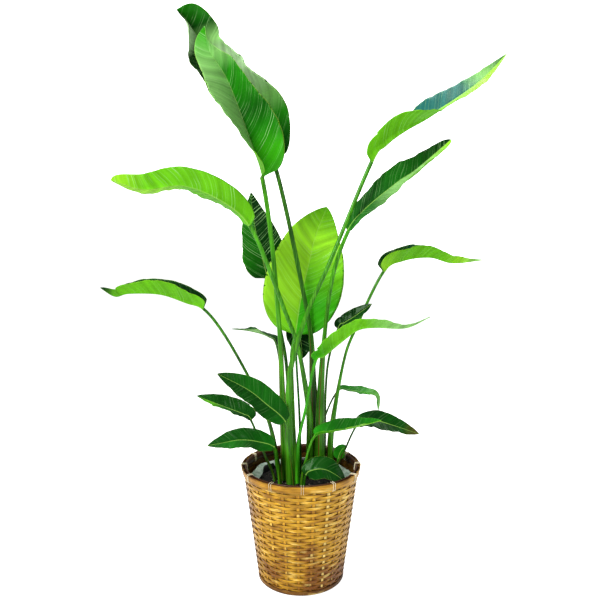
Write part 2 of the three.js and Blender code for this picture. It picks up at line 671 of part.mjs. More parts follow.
function nurseryPot() {
  const profile = [
    [0, POT_BOTTOM],
    [POT_BASE_RADIUS, POT_BOTTOM],
    [POT_TOP_RADIUS, POT_LIP_BOTTOM],
    [POT_LIP_RADIUS, POT_LIP_BOTTOM],
    [POT_LIP_RADIUS, POT_TOP],
    [POT_TOP_RADIUS - POT_WALL, POT_TOP],
    [POT_BASE_RADIUS - POT_WALL, POT_BOTTOM + POT_WALL],
    [0, POT_BOTTOM + POT_WALL],
  ];
  let pot = turned(profile, SOIL_COLUMNS).manifold();
  for (let i = 0; i < DRAIN_HOLES; i += 1) {
    const drill = wasm.Manifold.cylinder(3 * POT_WALL, 5, 5, 8, true);
    const angle = 30 + (360 / DRAIN_HOLES) * i;
    pot = pot.subtract(drill.translate([65, 0, POT_BOTTOM]).rotate([0, 0, angle]));
  }
  return manifoldGeometry(pot);
}

// lumpy soil that fills the pot, with a hole for each stalk
function soil() {
  const bottom = POT_BOTTOM + POT_WALL + GAP;
  const slope = (SOIL_RADIUS - (POT_BASE_RADIUS - POT_WALL)) / (SOIL_TOP - bottom);
  const bottomRadius = POT_BASE_RADIUS - POT_WALL - 2;
  const side = [
    [bottomRadius, bottom],
    [bottomRadius + slope * 0.94 * (SOIL_TOP - 14 - bottom), SOIL_TOP - 14],
    [SOIL_RADIUS - 3, SOIL_TOP - 4],
  ];
  const topRings = [[96, SOIL_TOP - 2], [72, SOIL_TOP], [46, SOIL_TOP + 2], [20, SOIL_TOP + 2]];
  const profile = [[0, bottom], ...side, ...topRings, [0, SOIL_TOP + 2]];
  const lift = (column, row) => {
    const onTop = row > side.length;
    return onTop ? 1.8 * Math.sin(4.7 * column + 2.3 * row) : 0;
  };
  let body = turned(profile, SOIL_COLUMNS, { lift }).manifold();
  LEAVES.forEach((leaf) => {
    body = body.subtract(stalkHole(leaf));
  });
  return manifoldGeometry(body);
}

// ---------------------------------------------------------------- scene graph
const group = new THREE.Group();
group.name = 'potted_bird_of_paradise';

function place(name, geometry, colour, roughness, opacity = 1) {
  geometry.computeVertexNormals();
  const material = new THREE.MeshStandardMaterial({ color: colour, roughness, metalness: 0 });
  material.opacity = opacity;
  material.transparent = opacity < 1;
  material.name = name;
  const mesh = new THREE.Mesh(geometry, material);
  mesh.name = name;
  group.add(mesh);
}

place('basket_weave', basketWall(), 0xc8973f, 0.55);
place('foot_hoop', hoop(2, 12, CORNER_RADIUS + 2.5 + GAP, CORNER_RADIUS + 2.5 + GAP, 2.6, STAKES),
  0x4a2f18, 0.6);
place('rim_outer_hoop', hoop(RIM_BOTTOM, RIM_TOP, coneRadius(RIM_BOTTOM) + GAP,
  coneRadius(RIM_TOP) + GAP, HOOP, 2 * STAKES), 0xa5702c, 0.5);
place('rim_inner_hoop', hoop(RIM_BOTTOM, RIM_TOP, innerHoopOutside(RIM_BOTTOM) - HOOP,
  innerHoopOutside(RIM_TOP) - HOOP, HOOP, 2 * STAKES), 0x8a5826, 0.5);
lashingAngles().forEach((angle, i) => {
  place(`rim_lashing_${i + 1}`, lashing(angle), 0xe8ddc0, 0.6);
});
place('film_bag', filmBag(), 0xc3cfc2, 0.25, 0.6);
place('nursery_pot', nurseryPot(), 0x17181a, 0.45);
place('potting_soil', soil(), 0x2a1d14, 0.95);
LEAVES.forEach((leaf) => {
  place(leaf.name, leafSolid(leaf).geometry(), leaf.colour, 0.4);
});

export default group;
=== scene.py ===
"""Potted bird of paradise (Strelitzia) in a woven bamboo basket: the looks.

Metres, +Z up, front towards -Y, origin in the middle of the basket's underside.
The leaf table and the driving sizes are those of the solids, in millimetres.
"""
import math

import bmesh
import bpy
import numpy as np
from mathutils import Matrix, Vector, noise


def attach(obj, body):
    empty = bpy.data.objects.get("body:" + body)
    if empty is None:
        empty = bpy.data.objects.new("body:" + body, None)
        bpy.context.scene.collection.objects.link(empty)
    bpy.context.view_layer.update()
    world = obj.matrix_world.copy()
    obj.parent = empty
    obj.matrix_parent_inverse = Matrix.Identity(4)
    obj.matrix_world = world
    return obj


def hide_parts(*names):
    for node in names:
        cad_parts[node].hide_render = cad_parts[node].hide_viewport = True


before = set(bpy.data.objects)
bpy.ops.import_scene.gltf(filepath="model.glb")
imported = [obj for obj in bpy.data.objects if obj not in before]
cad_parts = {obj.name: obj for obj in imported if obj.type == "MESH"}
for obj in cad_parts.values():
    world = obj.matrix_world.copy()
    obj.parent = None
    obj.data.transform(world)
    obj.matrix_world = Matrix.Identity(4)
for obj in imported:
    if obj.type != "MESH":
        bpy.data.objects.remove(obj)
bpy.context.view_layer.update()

MM = 0.001

# ---------------------------------------------------------------- driving sizes, mm
BASE_RADIUS = 108            # outer radius that the basket's cone would have at the floor
CONE_SLOPE = 0.134
STAKES = 24                  # upright splints
ROW_HEIGHT = 8.1             # one weaver above the other
WEAVE_START = 13             # middle of the first weaver on the wall
STAKE_PHASE = -3             # degrees, first stake seen from the front
RIM_BOTTOM, RIM_TOP = 273, 290
LASHINGS, LASHING_PHASE = 12, 1
SOIL_TOP, SOIL_RADIUS = 244, 113.5
VEIN_LEAN = 0.6              # how far a side vein runs towards the tip for each mm outwards
VEIN_CURVE = 0.003           # and how much more of it each mm further out

# ---------------------------------------------------------------- leaves, mm
def leaf(name, width, stalk, blade, face, left, thick, right=None, shape=(0.45, 0.75),
         wave=(2, 2, 0)):
    """One leaf, in millimetres and degrees.

    width: full width laid flat; shape: how it swells (root and tip exponents)
    stalk: points from the root up to below the blade; blade: points of the midrib to the tip
    face: directions that the upper side faces, evenly spaced from joint to tip
    left, right: [fold at joint, fold at tip, curl at joint, curl at tip]; right is as left
    unless it is given
    wave: [height, number of waves, phase] of the edge
    thick: [stalk at the root, stalk at the joint, share of its length that is sheath]
    """
    return dict(name=name, width=width, stalk=stalk, blade=blade, face=face, left=left,
                right=right or left, shape=shape, wave=wave, thick=thick)


LEAVES = [
    leaf("leaf_top_front", width=176, shape=[0.42, 0.8],
         stalk=[[-40, 5, 200], [-42, 2, 300], [-47, -10, 490], [-53, -16, 635], [-70, -25, 845]],
         blade=[[-92, -30, 1000], [-121, -42, 1090], [-165, -65, 1210], [-205, -85, 1275],
                [-212, -98, 1322]],
         face=[[0, -0.95, 0.1], [0, -0.9, 0.3]],
         left=[103, 5, 10, 10], right=[6, 86, 8, 10], wave=[4, 2, 0.5], thick=[19, 11, 0.6]),
    leaf("leaf_top_back", width=180, shape=[0.4, 0.42],
         stalk=[[38, 58, 200], [38, 57, 300], [35, 53, 400], [30, 48, 500], [24, 46, 620],
                [-5, 45, 775], [-40, 47, 940]],
         blade=[[-67, 50, 1044], [-98, 47, 1127], [-138, 40, 1192], [-192, 28, 1257],
                [-232, 8, 1311], [-253, -15, 1341], [-268, -38, 1361], [-281, -60, 1370]],
         face=[[0.34, -0.9, 0.2], [0.44, -0.85, 0.2], [-0.34, -0.9, 0.2], [-0.25, -0.9, 0.2],
                [0.5, -0.85, 0]],
         left=[70, 50, 5, 10], right=[42, 48, 5, 10], wave=[6, 3, 0], thick=[24, 11, 0.6]),
    leaf("leaf_left_upper", width=86, shape=[0.35, 0.45],
         stalk=[[23, 38, 200], [23, 37, 300], [22, 30, 400], [12, 14, 480], [-9, -12, 597],
                [-41, -32, 688], [-72, -48, 775]],
         blade=[[-119, -60, 886], [-177, -75, 941], [-265, -90, 977], [-354, -100, 968],
                [-426, -110, 988]],
         face=[[0, 0.8, 0.6], [0, 0.8, 0.6]],
         left=[35, 35, 10, 10], wave=[4, 2, 0], thick=[20, 10, 0.6]),
    leaf("leaf_right_top", width=102, shape=[0.55, 0.8],
         stalk=[[-26, -20, 200], [-28, -22, 300], [-30, -34, 490], [-17, -42, 578],
                [17, -44, 686], [70, -40, 805]],
         blade=[[166, -20, 1035], [200, -10, 1078], [249, 0, 1115], [318, 10, 1155],
                [421, 5, 1225], [485, -5, 1290]],
         face=[[-0.49, 0.57, 0.66], [-0.52, 0.5, 0.69], [-0.44, -0.47, 0.76],
                [-0.47, -0.44, 0.77], [-0.48, -0.37, 0.8]],
         left=[30, 14, 10, 10], right=[28, -2, 10, 10], wave=[3, 2, 1], thick=[18, 10, 0.6]),
    leaf("leaf_right_second", width=104, shape=[0.45, 0.55],
         stalk=[[48, 30, 200], [48, 30, 300], [50, 32, 445], [58, 24, 600], [77, 6, 760]],
         blade=[[114, -2, 873], [154, -12, 925], [228, -27, 988], [270, -42, 1017],
                [345, -62, 1083]],
         face=[[-0.6, -0.5, 0.55], [-0.6, -0.5, 0.55]],
         left=[5, 5, 5, 5], right=[5, 0, 10, 70], wave=[6, 1.5, 0.75], thick=[26, 10, 0.7]),
    leaf("leaf_centre_bright", width=205,
         stalk=[[-14, 14, 200], [-16, 15, 300], [-20, 26, 405], [-24, 45, 548]],
         blade=[[-15, 62, 608], [0, 78, 706], [21, 92, 794], [37, 102, 860], [67, 106, 938]],
         face=[[0, -1, 0.1], [0, -1, 0.1]],
         left=[8, 8, 8, 8], wave=[4, 2, 0], thick=[13, 10, 0.6]),
    leaf("leaf_dark_back_left", width=130, shape=[0.35, 0.9],
         stalk=[[-22, 40, 200], [-24, 44, 300], [-34, 75, 477], [-48, 102, 585]],
         blade=[[-90, 130, 750], [-114, 136, 845], [-128, 138, 918], [-132, 136, 978]],
         face=[[0.4, -0.9, 0.1], [0.5, -0.8, 0.1]],
         left=[12, 20, 10, 10], right=[15, 15, 10, 10], wave=[3, 2, 0], thick=[13, 9, 0.6]),
    leaf("leaf_left_middle", width=82, shape=[0.35, 0.65],
         stalk=[[-54, 18, 200], [-58, 20, 270], [-80, 22, 388], [-129, 25, 500], [-194, 28, 617]],
         blade=[[-244, 30, 680], [-287, 25, 698], [-350, 15, 720], [-423, 0, 723],
                [-456, -5, 716], [-490, -10, 737]],
         face=[[0.2, 0.1, 1], [0, 0.2, 1]],
         left=[38, 48, 5, 5], right=[84, 45, 5, 5], wave=[3, 2, 0], thick=[15, 8, 0.6]),
    leaf("leaf_left_thin", width=50,
         stalk=[[-40, 34, 200], [-40, 36, 300], [-48, 48, 470]],
         blade=[[-62, 62, 580], [-86, 72, 605], [-133, 82, 617], [-182, 92, 620]],
         face=[[0, 0.15, 1], [0, 0.05, 1]],
         left=[10, 10, 5, 5], wave=[3, 2, 0], thick=[9, 6, 0.6]),
    leaf("leaf_centre_hanging", width=75,
         stalk=[[0, 42, 200], [-2, 46, 300], [-4, 60, 400], [-12, 88, 535], [-14, 112, 610]],
         blade=[[-12, 108, 640], [-6, 98, 620], [0, 88, 585], [5, 78, 545]],
         face=[[0, -1, 0.3], [0, -1, 0.3]],
         left=[15, 15, 5, 5], thick=[8, 6, 0.6]),
    leaf("leaf_low_left_front", width=73,
         stalk=[[-16, -46, 200], [-18, -46, 262], [-28, -49, 345]],
         blade=[[-38, -52, 413], [-87, -70, 466], [-127, -85, 503], [-194, -108, 546]],
         face=[[0.2, -0.8, 0.6], [0.1, -0.8, 0.6]],
         left=[12, 12, 5, 5], wave=[3, 2, 0], thick=[9, 6, 0.7]),
    leaf("leaf_low_left_back", width=72,
         stalk=[[-66, -4, 200], [-68, -2, 255], [-92, 6, 310]],
         blade=[[-127, 22, 394], [-148, 32, 407], [-182, 42, 418], [-223, 52, 431],
                [-271, 60, 449]],
         face=[[0.1, -0.1, 1], [0, -0.1, 1]],
         left=[10, 10, 10, 10], right=[35, 35, 5, 5], thick=[8, 6, 0.7]),
    leaf("leaf_low_left", width=68,
         stalk=[[-52, -20, 200], [-54, -22, 260], [-60, -26, 300]],
         blade=[[-67, -30, 341], [-106, -42, 360], [-149, -52, 368], [-192, -62, 364],
                [-225, -72, 361]],
         face=[[0, -0.55, 0.85], [0, -0.5, 0.85]],
         left=[12, 12, 5, 5], thick=[11, 8, 0.7]),
    leaf("leaf_right_cupped", width=78, shape=[0.5, 1.3],
         stalk=[[-8, -18, 200], [-9, -18, 270], [-6, -18, 356], [13, -16, 442]],
         blade=[[35, -14, 555], [57, -18, 572], [100, -28, 610], [138, -38, 639],
                [180, -46, 646], [251, -50, 645], [306, -60, 672]],
         face=[[-0.3, 0.27, 1], [0, 0.27, 1]],
         left=[30, 30, 5, 5], thick=[12, 8, 0.6]),
    leaf("leaf_right_dark", width=44,
         stalk=[[62, 70, 200], [62, 72, 300], [68, 62, 518]],
         blade=[[94, 38, 628], [111, 33, 645], [136, 28, 662], [177, 22, 694]],
         face=[[-0.3, -0.7, 0.6], [-0.3, -0.7, 0.6]],
         left=[15, 15, 5, 5], thick=[10, 6, 0.6]),
    leaf("leaf_right_arching", width=76, shape=[0.35, 1.0],
         stalk=[[78, 52, 200], [76, 52, 270], [79, 55, 360], [111, 65, 540], [142, 70, 626]],
         blade=[[212, 80, 770], [264, 86, 801], [333, 88, 809], [393, 88, 794], [477, 92, 801]],
         face=[[-0.2, 0.1, 1], [0, 0.2, 1]],
         left=[62, 58, 5, 5], right=[38, 42, 5, 5], wave=[4, 3, 0], thick=[20, 8, 0.6]),
    leaf("leaf_right_folded", width=45,
         stalk=[[46, 86, 200], [46, 88, 270], [64, 96, 380]],
         blade=[[99, 102, 452], [131, 102, 452], [171, 100, 446], [200, 96, 438], [205, 90, 400]],
         face=[[0, 0, 1], [0.8, -0.4, 0.4]],
         left=[15, 15, 5, 5], thick=[7, 5, 0.6]),
    leaf("leaf_low_right_back", width=56,
         stalk=[[88, 18, 200], [86, 18, 262], [112, 16, 320]],
         blade=[[142, 8, 387], [178, 0, 402], [217, -10, 396], [293, -22, 374]],
         face=[[0, -0.6, 0.8], [0, -0.6, 0.8]],
         left=[12, 12, 5, 5], thick=[8, 5, 0.7]),
    leaf("leaf_low_right_front", width=60,
         stalk=[[2, -40, 200], [2, -40, 262], [12, -42, 315]],
         blade=[[33, -44, 375], [71, -46, 388], [120, -48, 397], [159, -49, 407], [195, -50, 417]],
         face=[[0, -0.2, 1], [0, -0.2, 1]],
         left=[30, 30, 5, 5], thick=[8, 6, 0.7]),
    leaf("leaf_at_rim", width=66,
         stalk=[[6, -62, 200], [6, -62, 240]],
         blade=[[12, -62, 284], [30, -66, 298], [56, -72, 302], [82, -78, 292], [106, -78, 274]],
         face=[[0.1, -0.6, 0.8], [0.1, -0.6, 0.8]],
         left=[12, 12, 5, 5], thick=[8, 6, 0.7]),
    leaf("young_shoot", width=34,
         stalk=[[94, 36, 200], [94, 36, 255]],
         blade=[[97, 39, 288], [102, 41, 304], [110, 43, 314], [121, 44, 319]],
         face=[[0, -0.5, 0.8], [0, -0.5, 0.8]],
         left=[15, 15, 5, 5], wave=[1, 2, 0], thick=[9, 6, 0.7]),
]

# how each leaf is coloured. For each face, the greens of its left and of its right half,
# evenly spaced from the joint to the tip; then the stalk's green, and how strongly the
# side veins stand out. These greens hold painted light and shade as well as the leaf's own
# colour: the whitish and blue-green words, and partly the pale one, are painted reflections
# on the glossy upper side; the darkest words partly paint the shade on leaves that stand
# behind others; bright and lime on the undersides partly paint light shining through.
GREENS = {
    "deep": 0x04280A, "dark": 0x0A400A, "green": 0x145E10, "mid": 0x208010,
    "fresh": 0x349C10, "bright": 0x60B016, "lime": 0x88C824, "pale": 0x86BE6A,
    # the pale whitish green and the blue green on the next line are painted reflections of the
    # glossy upper side, not greens of the leaf
    "sheen": 0xBCD9AE, "blue": 0x1E5F5E, "brown": 0x4A3A14,
    "stem": 0x3A860C, "moss": 0x245E0A,
}
LOOKS = {
    "leaf_top_front": ("bright pale pale pale pale pale fresh",
                       "fresh fresh mid green mid mid pale mid",
                       "bright lime", "bright bright", "stem", 1.0),
    "leaf_top_back": ("dark dark dark deep deep deep deep deep sheen dark",
                      "dark green mid pale sheen sheen sheen pale dark mid",
                      "mid pale sheen", "pale sheen pale", "moss", 0.6),
    "leaf_left_upper": ("mid fresh", "mid fresh",
                        "bright bright bright bright bright lime", "bright bright bright lime lime",
                        "stem", 0.8),
    "leaf_right_top": ("green sheen green blue blue blue pale green",
                       "green pale bright lime lime lime",
                       "bright bright bright bright", "bright bright bright bright", "stem", 0.6),
    "leaf_right_second": ("green dark green dark deep", "mid green pale pale lime",
                          "pale mid pale lime", "pale pale pale bright lime", "stem", 0.5),
    "leaf_centre_bright": ("bright lime lime lime bright", "fresh fresh bright lime bright",
                           "mid mid", "mid mid", "stem", 0.5),
    "leaf_dark_back_left": ("dark mid mid green", "deep dark deep deep",
                            "green mid", "green mid", "moss", 1.8),
    "leaf_left_middle": ("deep dark", "deep deep dark dark deep",
                         "bright bright bright bright bright deep", "bright bright fresh dark",
                         "moss", 0.3),
    "leaf_left_thin": ("deep dark green dark", "deep dark dark dark",
                       "dark pale green", "dark mid", "moss", 0.3),
    "leaf_centre_hanging": ("deep deep", "deep deep", "dark green", "dark green", "green", 0.3),
    "leaf_low_left_front": ("green dark dark dark", "dark green green dark",
                            "mid mid", "mid mid", "moss", 0.22),
    "leaf_low_left_back": ("dark dark green bright green", "dark dark dark dark",
                           "mid bright mid", "mid fresh", "moss", 0.2),
    "leaf_low_left": ("green dark green dark", "green dark dark dark",
                      "mid mid", "mid mid", "stem", 0.22),
    "leaf_right_cupped": ("mid mid green pale", "mid mid pale",
                          "fresh pale bright pale pale", "fresh bright bright pale pale",
                          "fresh", 0.4),
    "leaf_right_dark": ("deep deep", "deep dark deep", "green green", "dark green", "moss", 0.1),
    "leaf_right_arching": ("deep dark blue green pale", "dark green mid pale",
                           "mid bright", "lime bright bright bright lime pale", "stem", 0.5),
    "leaf_right_folded": ("green mid pale", "green mid mid", "pale mid", "mid fresh", "moss", 0.3),
    "leaf_low_right_back": ("dark deep dark dark brown", "dark dark deep dark brown",
                            "green green", "green green", "moss", 0.25),
    "leaf_low_right_front": ("mid green green mid", "bright mid mid fresh bright",
                             "fresh bright", "fresh lime", "stem", 0.3),
    "leaf_at_rim": ("dark dark deep", "dark dark dark", "green green", "green green", "moss",
                    0.15),
    "young_shoot": ("mid green", "mid mid", "mid fresh", "mid fresh", "fresh", 0.2),
}


# ---------------------------------------------------------------- small helpers
def linear(hex_colour):
    """An sRGB hex value as linear red, green, blue and alpha."""
    parts = [((hex_colour >> shift) & 255) / 255 for shift in (16, 8, 0)]
    return [c / 12.92 if c <= 0.04045 else ((c + 0.055) / 1.055) ** 2.4 for c in parts] + [1]


def add(tree, kind, inputs=None, out=0, **settings):
    """Adds a node, sets and links its inputs, and gives back one of its outputs."""
    made = tree.nodes.new(kind)
    for name, value in settings.items():
        setattr(made, name, value)
    for key, value in (inputs or {}).items():
        if isinstance(value, bpy.types.NodeSocket):
            tree.links.new(value, made.inputs[key])
        else:
            made.inputs[key].default_value = value
    return made.outputs[out] if out is not None else made


def read(tree, name):
    """A number that the mesh carries under this name."""
    return add(tree, "ShaderNodeAttribute", out=2, attribute_name=name)


def calc(tree, operation, *values):
    return add(tree, "ShaderNodeMath", dict(enumerate(values)), operation=operation)


def remap(tree, value, low, high, to_low, to_high, smooth=False):
    """Carries the range low..high over to to_low..to_high, and stops at its ends."""
    return add(tree, "ShaderNodeMapRange", {0: value, 1: low, 2: high, 3: to_low, 4: to_high},
               interpolation_type="SMOOTHSTEP" if smooth else "LINEAR")


def scaled(tree, vector, amount):
    return add(tree, "ShaderNodeVectorMath", {0: vector, "Scale": amount}, operation="SCALE")


def blend(tree, share, first, second):
    """From the first colour at 0 to the second at 1; a colour may be an sRGB hex value."""
    first, second = (linear(c) if isinstance(c, int) else c for c in (first, second))
    return add(tree, "ShaderNodeMix", {0: share, 6: first, 7: second}, out=2, data_type="RGBA")


def mottle(tree, place, scale, detail, **more):
    return add(tree, "ShaderNodeTexNoise",
               {"Vector": place, "Scale": scale, "Detail": detail, **more})


def banded(tree, along, **more):
    """Noise along one line: bands of uneven width."""
    return add(tree, "ShaderNodeTexNoise", {"W": along, "Scale": 1.0, "Detail": 2.5, **more},
               noise_dimensions="1D")


def stretched(tree, place, scale):
    return add(tree, "ShaderNodeMapping", {"Vector": place, "Scale": scale})


def bumped(tree, height, strength, distance_mm):
    return add(tree, "ShaderNodeBump", {"Strength": strength, "Distance": distance_mm * MM,
                                        "Height": height})


def surface_tree(name):
    """An empty material, and its node tree."""
    material = bpy.data.materials.new(name)
    material.use_nodes = True
    material.node_tree.nodes.clear()
    return material, material.node_tree


def coat_tree(tree, **sockets):
    """Ends a material; a socket's spaces are written as underscores."""
    inputs = {name.replace("_", " "): value for name, value in sockets.items()}
    surface = add(tree, "ShaderNodeBsdfPrincipled", inputs)
    add(tree, "ShaderNodeOutputMaterial", {"Surface": surface}, out=None)


def ease(low, high, x):
    t = np.clip((x - low) / (high - low), 0, 1)
    return t * t * (3 - 2 * t)


def unit(v):
    return v / np.maximum(np.linalg.norm(v, axis=-1, keepdims=True), 1e-12)


def square_to(v, axis):
    return unit(v - np.sum(v * axis, axis=-1, keepdims=True) * axis)


def dressed(name, mesh, node, materials):
    """Puts a finished mesh in the scene in place of a node of the solids."""
    piece = bpy.data.objects.new(name, mesh)
    bpy.context.scene.collection.objects.link(piece)
    for material in materials:
        mesh.materials.append(material)
    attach(piece, "root")
    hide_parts(node)
    return piece


def smooth(mesh):
    mesh.polygons.foreach_set("use_smooth", [True] * len(mesh.polygons))


def mesh_from(name, points, faces):
    """A mesh from points in millimetres, its faces turned outwards."""
    points = np.asarray(points, float)
    fans = [(face[0], face[i], face[i + 1]) for face in faces for i in range(1, len(face) - 1)]
    a, b, c = (points - points.mean(axis=0))[np.array(fans).T]
    if np.einsum("ij,ij", a, np.cross(b, c)) < 0:
        faces = [tuple(reversed(face)) for face in faces]
    mesh = bpy.data.meshes.new(name)
    mesh.from_pydata((points * MM).tolist(), [], faces)
    mesh.update()
    smooth(mesh)
    return mesh


# ---------------------------------------------------------------- materials
def leaf_surface(name, upper):
    """Strelitzia leaf blade: a waxy cuticle over fine parallel side veins.

    The upper side is a glossy deep green; the lower side is duller and yellower, with
    the side veins standing out a little. A pale midrib runs down the middle.
    """
    material, tree = surface_tree(name)
    tint = add(tree, "ShaderNodeAttribute",
               attribute_name="upper_green" if upper else "under_green")
    along, across, share, outness, veining = (
        read(tree, word) for word in ("along", "across", "share", "outness", "veining"))
    place = add(tree, "ShaderNodeTexCoord", out=3)
    off = calc(tree, "ABSOLUTE", across)
    wander = mottle(tree, place, 18.0, 2.0)
    bent = calc(tree, "MULTIPLY_ADD", off, -VEIN_CURVE, -VEIN_LEAN)
    lean = calc(tree, "MULTIPLY_ADD", off, bent, along)
    vein_at = calc(tree, "MULTIPLY_ADD", wander, 7.0, lean)
    # side veins lie 2 to 7 mm apart, unevenly; the finest ones are drawn a little coarse
    lane = calc(tree, "MULTIPLY", vein_at, 1 / 4.2)
    veins = banded(tree, lane, Roughness=0.62)
    vein = remap(tree, veins, 0.55, 0.75, 0.0, 1.0, smooth=True)
    # a vein shows for part of its way only
    patch = mottle(tree, place, 26.0, 2.0)
    shown = remap(tree, patch, 0.38, 0.62, 0.15, 1.0)
    blotch = mottle(tree, place, 9.0, 3.0)
    # broad bands of lighter and darker green that follow the side veins: painted light and shade of
    # the pleats
    wide = calc(tree, "MULTIPLY", vein_at, 1 / 17)
    band = banded(tree, wide)
    depth = calc(tree, "MULTIPLY_ADD", band, 0.9, blotch)
    shade = remap(tree, depth, 0.65, 1.25, 0.74, 1.24)
    toned = scaled(tree, tint, shade)
    lighter = blend(tree, 0.6, toned, 0xB4E89A)
    strong = calc(tree, "MULTIPLY", vein, veining)
    drawn = calc(tree, "MULTIPLY", strong, shown)
    veined = blend(tree, drawn, toned, lighter)
    rib_width = remap(tree, share, 0.0, 0.8, 2.0 if upper else 2.6, 0.7)
    rib = calc(tree, "DIVIDE", off, rib_width)
    rib_mask = remap(tree, rib, 0.3, 1.0, 0.7 if upper else 0.45, 0.0, smooth=True)
    ribbed = blend(tree, rib_mask, veined, 0x9CCB5A)
    edge = remap(tree, outness, 0.968, 0.992, 0.0, 0.55)
    colour = blend(tree, edge, ribbed, 0xA2CC4C)
    bump = bumped(tree, veins, 0.4 if upper else 0.5, 0.5)
    gloss = remap(tree, blotch, 0.3, 0.7, 0.3 if upper else 0.42, 0.42 if upper else 0.55)
    coat_tree(tree, Base_Color=colour, Roughness=gloss, IOR=1.45, Normal=bump,
              Specular_IOR_Level=0.14, Specular_Tint=linear(0x8CFF6C),
              Coat_Weight=0.08 if upper else 0.03, Coat_Tint=linear(0xD8F4C0),
              Coat_Roughness=0.14)
    return material


def stalk_surface():
    """Leaf stalk: smooth waxy green, striped lengthwise with pale streaks that are partly painted
    highlight, its sheath edged reddish brown, with painted shade at its foot.
    """
    material, tree = surface_tree("leaf_stalk_waxy")
    tint = add(tree, "ShaderNodeAttribute", attribute_name="upper_green")
    sheath = read(tree, "across")
    share = read(tree, "share")
    place = add(tree, "ShaderNodeTexCoord", out=3)
    fibre = mottle(tree, stretched(tree, place, (300, 300, 6)), 1.0, 3.0)
    patch = mottle(tree, place, 14.0, 2.0)
    shade = remap(tree, patch, 0.3, 0.7, 0.7, 1.3)
    grain = remap(tree, fibre, 0.3, 0.7, 0.6, 1.4)
    both = calc(tree, "MULTIPLY", shade, grain)
    toned = scaled(tree, tint, both)
    # pale lengthwise streaks: partly the stalk's own stripes, partly painted highlight
    streak_highlight = remap(tree, fibre, 0.5, 0.75, 0.0, 0.3)
    striped = blend(tree, streak_highlight, toned, 0x7EC03A)
    ragged = calc(tree, "MULTIPLY_ADD", patch, 0.5, sheath)
    brown = remap(tree, ragged, 0.72, 1.05, 0.0, 0.9, smooth=True)
    rusty = blend(tree, brown, striped, 0x6A3818)
    # the lowest part of each stalk darkens to near black: painted shade down among the stalks in
    # the basket
    low = remap(tree, share, -1.0, -0.86, 0.6, 0.0)
    colour = blend(tree, low, rusty, 0x1E1C0C)
    coat_tree(tree, Base_Color=colour, Roughness=0.34, IOR=1.45, Specular_IOR_Level=0.2,
              Normal=bumped(tree, fibre, 0.25, 0.4), Coat_Weight=0.12, Coat_Roughness=0.22)
    return material


def bamboo_surface(name, light, dark, red, woven=False, upright=False):
    """Split bamboo: satin outer skin, fine fibres lengthwise, stain and painted shade in the
    dips, painted shade along the strips' edges and on the inner side.
    """
    material, tree = surface_tree(name)
    place = add(tree, "ShaderNodeTexCoord", out=3)
    spot = add(tree, "ShaderNodeSeparateXYZ", {0: place}, out=None).outputs
    strip, dip, edge, run = (read(tree, word) for word in ("strip", "dip", "edge", "run"))
    if not upright:
        # these strips go round, so their length is counted by the angle from the front
        angle = calc(tree, "ARCTAN2", spot[0], calc(tree, "MULTIPLY", spot[1], -1.0))
        run = calc(tree, "MULTIPLY", angle, 130.0)
    # fibres lie along the strip, so the pattern is far finer across it than along it
    shift = calc(tree, "MULTIPLY", strip, 37.0)
    lane = add(tree, "ShaderNodeCombineXYZ", {0: run, 1: edge, 2: shift})
    fibre = mottle(tree, stretched(tree, lane, (0.025, 3.6, 1.0)), 1.0, 4.0, Roughness=0.6)
    tone = mottle(tree, stretched(tree, lane, (0.02, 0.3, 1.0)), 1.0, 2.0)
    stain = mottle(tree, place, 13.0, 3.0)
    mixed = remap(tree, tone, 0.32, 0.68, 0.0, 1.0)
    base = blend(tree, mixed, light, dark)
    # the stain gathers towards the foot, where the basket stands damp
    damp = remap(tree, spot[2], 0.15, 0.0, 0.0, 0.16)
    gathered = calc(tree, "ADD", stain, damp)
    reddish = remap(tree, gathered, 0.5, 0.74, 0.0, 0.8, smooth=True)
    stained = blend(tree, reddish, base, red)
    bright = remap(tree, strip, 1.5, 1.6, 0.0, 0.8)
    # some strips are paler: partly splints of a fresher tone, partly painted glints
    fresh = remap(tree, tone, 0.42, 0.3, 0.0, 0.6)
    paler = calc(tree, "MAXIMUM", bright, fresh)
    chosen = blend(tree, paler, stained, 0xF2D47A)
    grain = remap(tree, fibre, 0.3, 0.7, 0.5, 1.4)
    grained = scaled(tree, chosen, grain)
    # where a strip dips under another it darkens: partly stain, partly painted shade in the recess
    dip_stain_and_shade = remap(tree, dip, -1.0, -0.4, 0.3, 0.0)
    # the basket's inner side darkens to near black brown: painted shade inside the basket
    outwards = add(tree, "ShaderNodeCombineXYZ", {0: spot[0], 1: spot[1]})
    outwards = add(tree, "ShaderNodeVectorMath", {0: outwards}, operation="NORMALIZE")
    turned = add(tree, "ShaderNodeVectorMath", {0: add(tree, "ShaderNodeTexCoord", out=1),
                                                1: outwards}, out=1, operation="DOT_PRODUCT")
    painted_inside_shade = remap(tree, turned, -0.4, 0.1, 0.85, 0.0)
    darkest_stain_and_shade = calc(tree, "MAXIMUM", dip_stain_and_shade, painted_inside_shade)
    # 0x3A1E0C is the dark brown of the dips' stain and painted shade, and of the inside's painted
    # shade
    stained_and_shaded = blend(tree, darkest_stain_and_shade, grained, 0x3A1E0C)
    # each strip darkens towards its long edges: painted shade in the thin gaps between strips
    off_middle = calc(tree, "ABSOLUTE", edge)
    painted_edge_shade = remap(tree, off_middle, 0.68, 0.98, 0.0, 0.9 if woven else 0.5)
    colour = blend(tree, painted_edge_shade, stained_and_shaded, 0x4A260C)
    coat_tree(tree, Base_Color=colour, Roughness=remap(tree, fibre, 0.3, 0.7, 0.26, 0.44),
              IOR=1.5, Normal=bumped(tree, fibre, 0.5, 0.3), Specular_IOR_Level=0.15,
              Coat_Weight=0.16, Coat_Roughness=0.2)
    return material


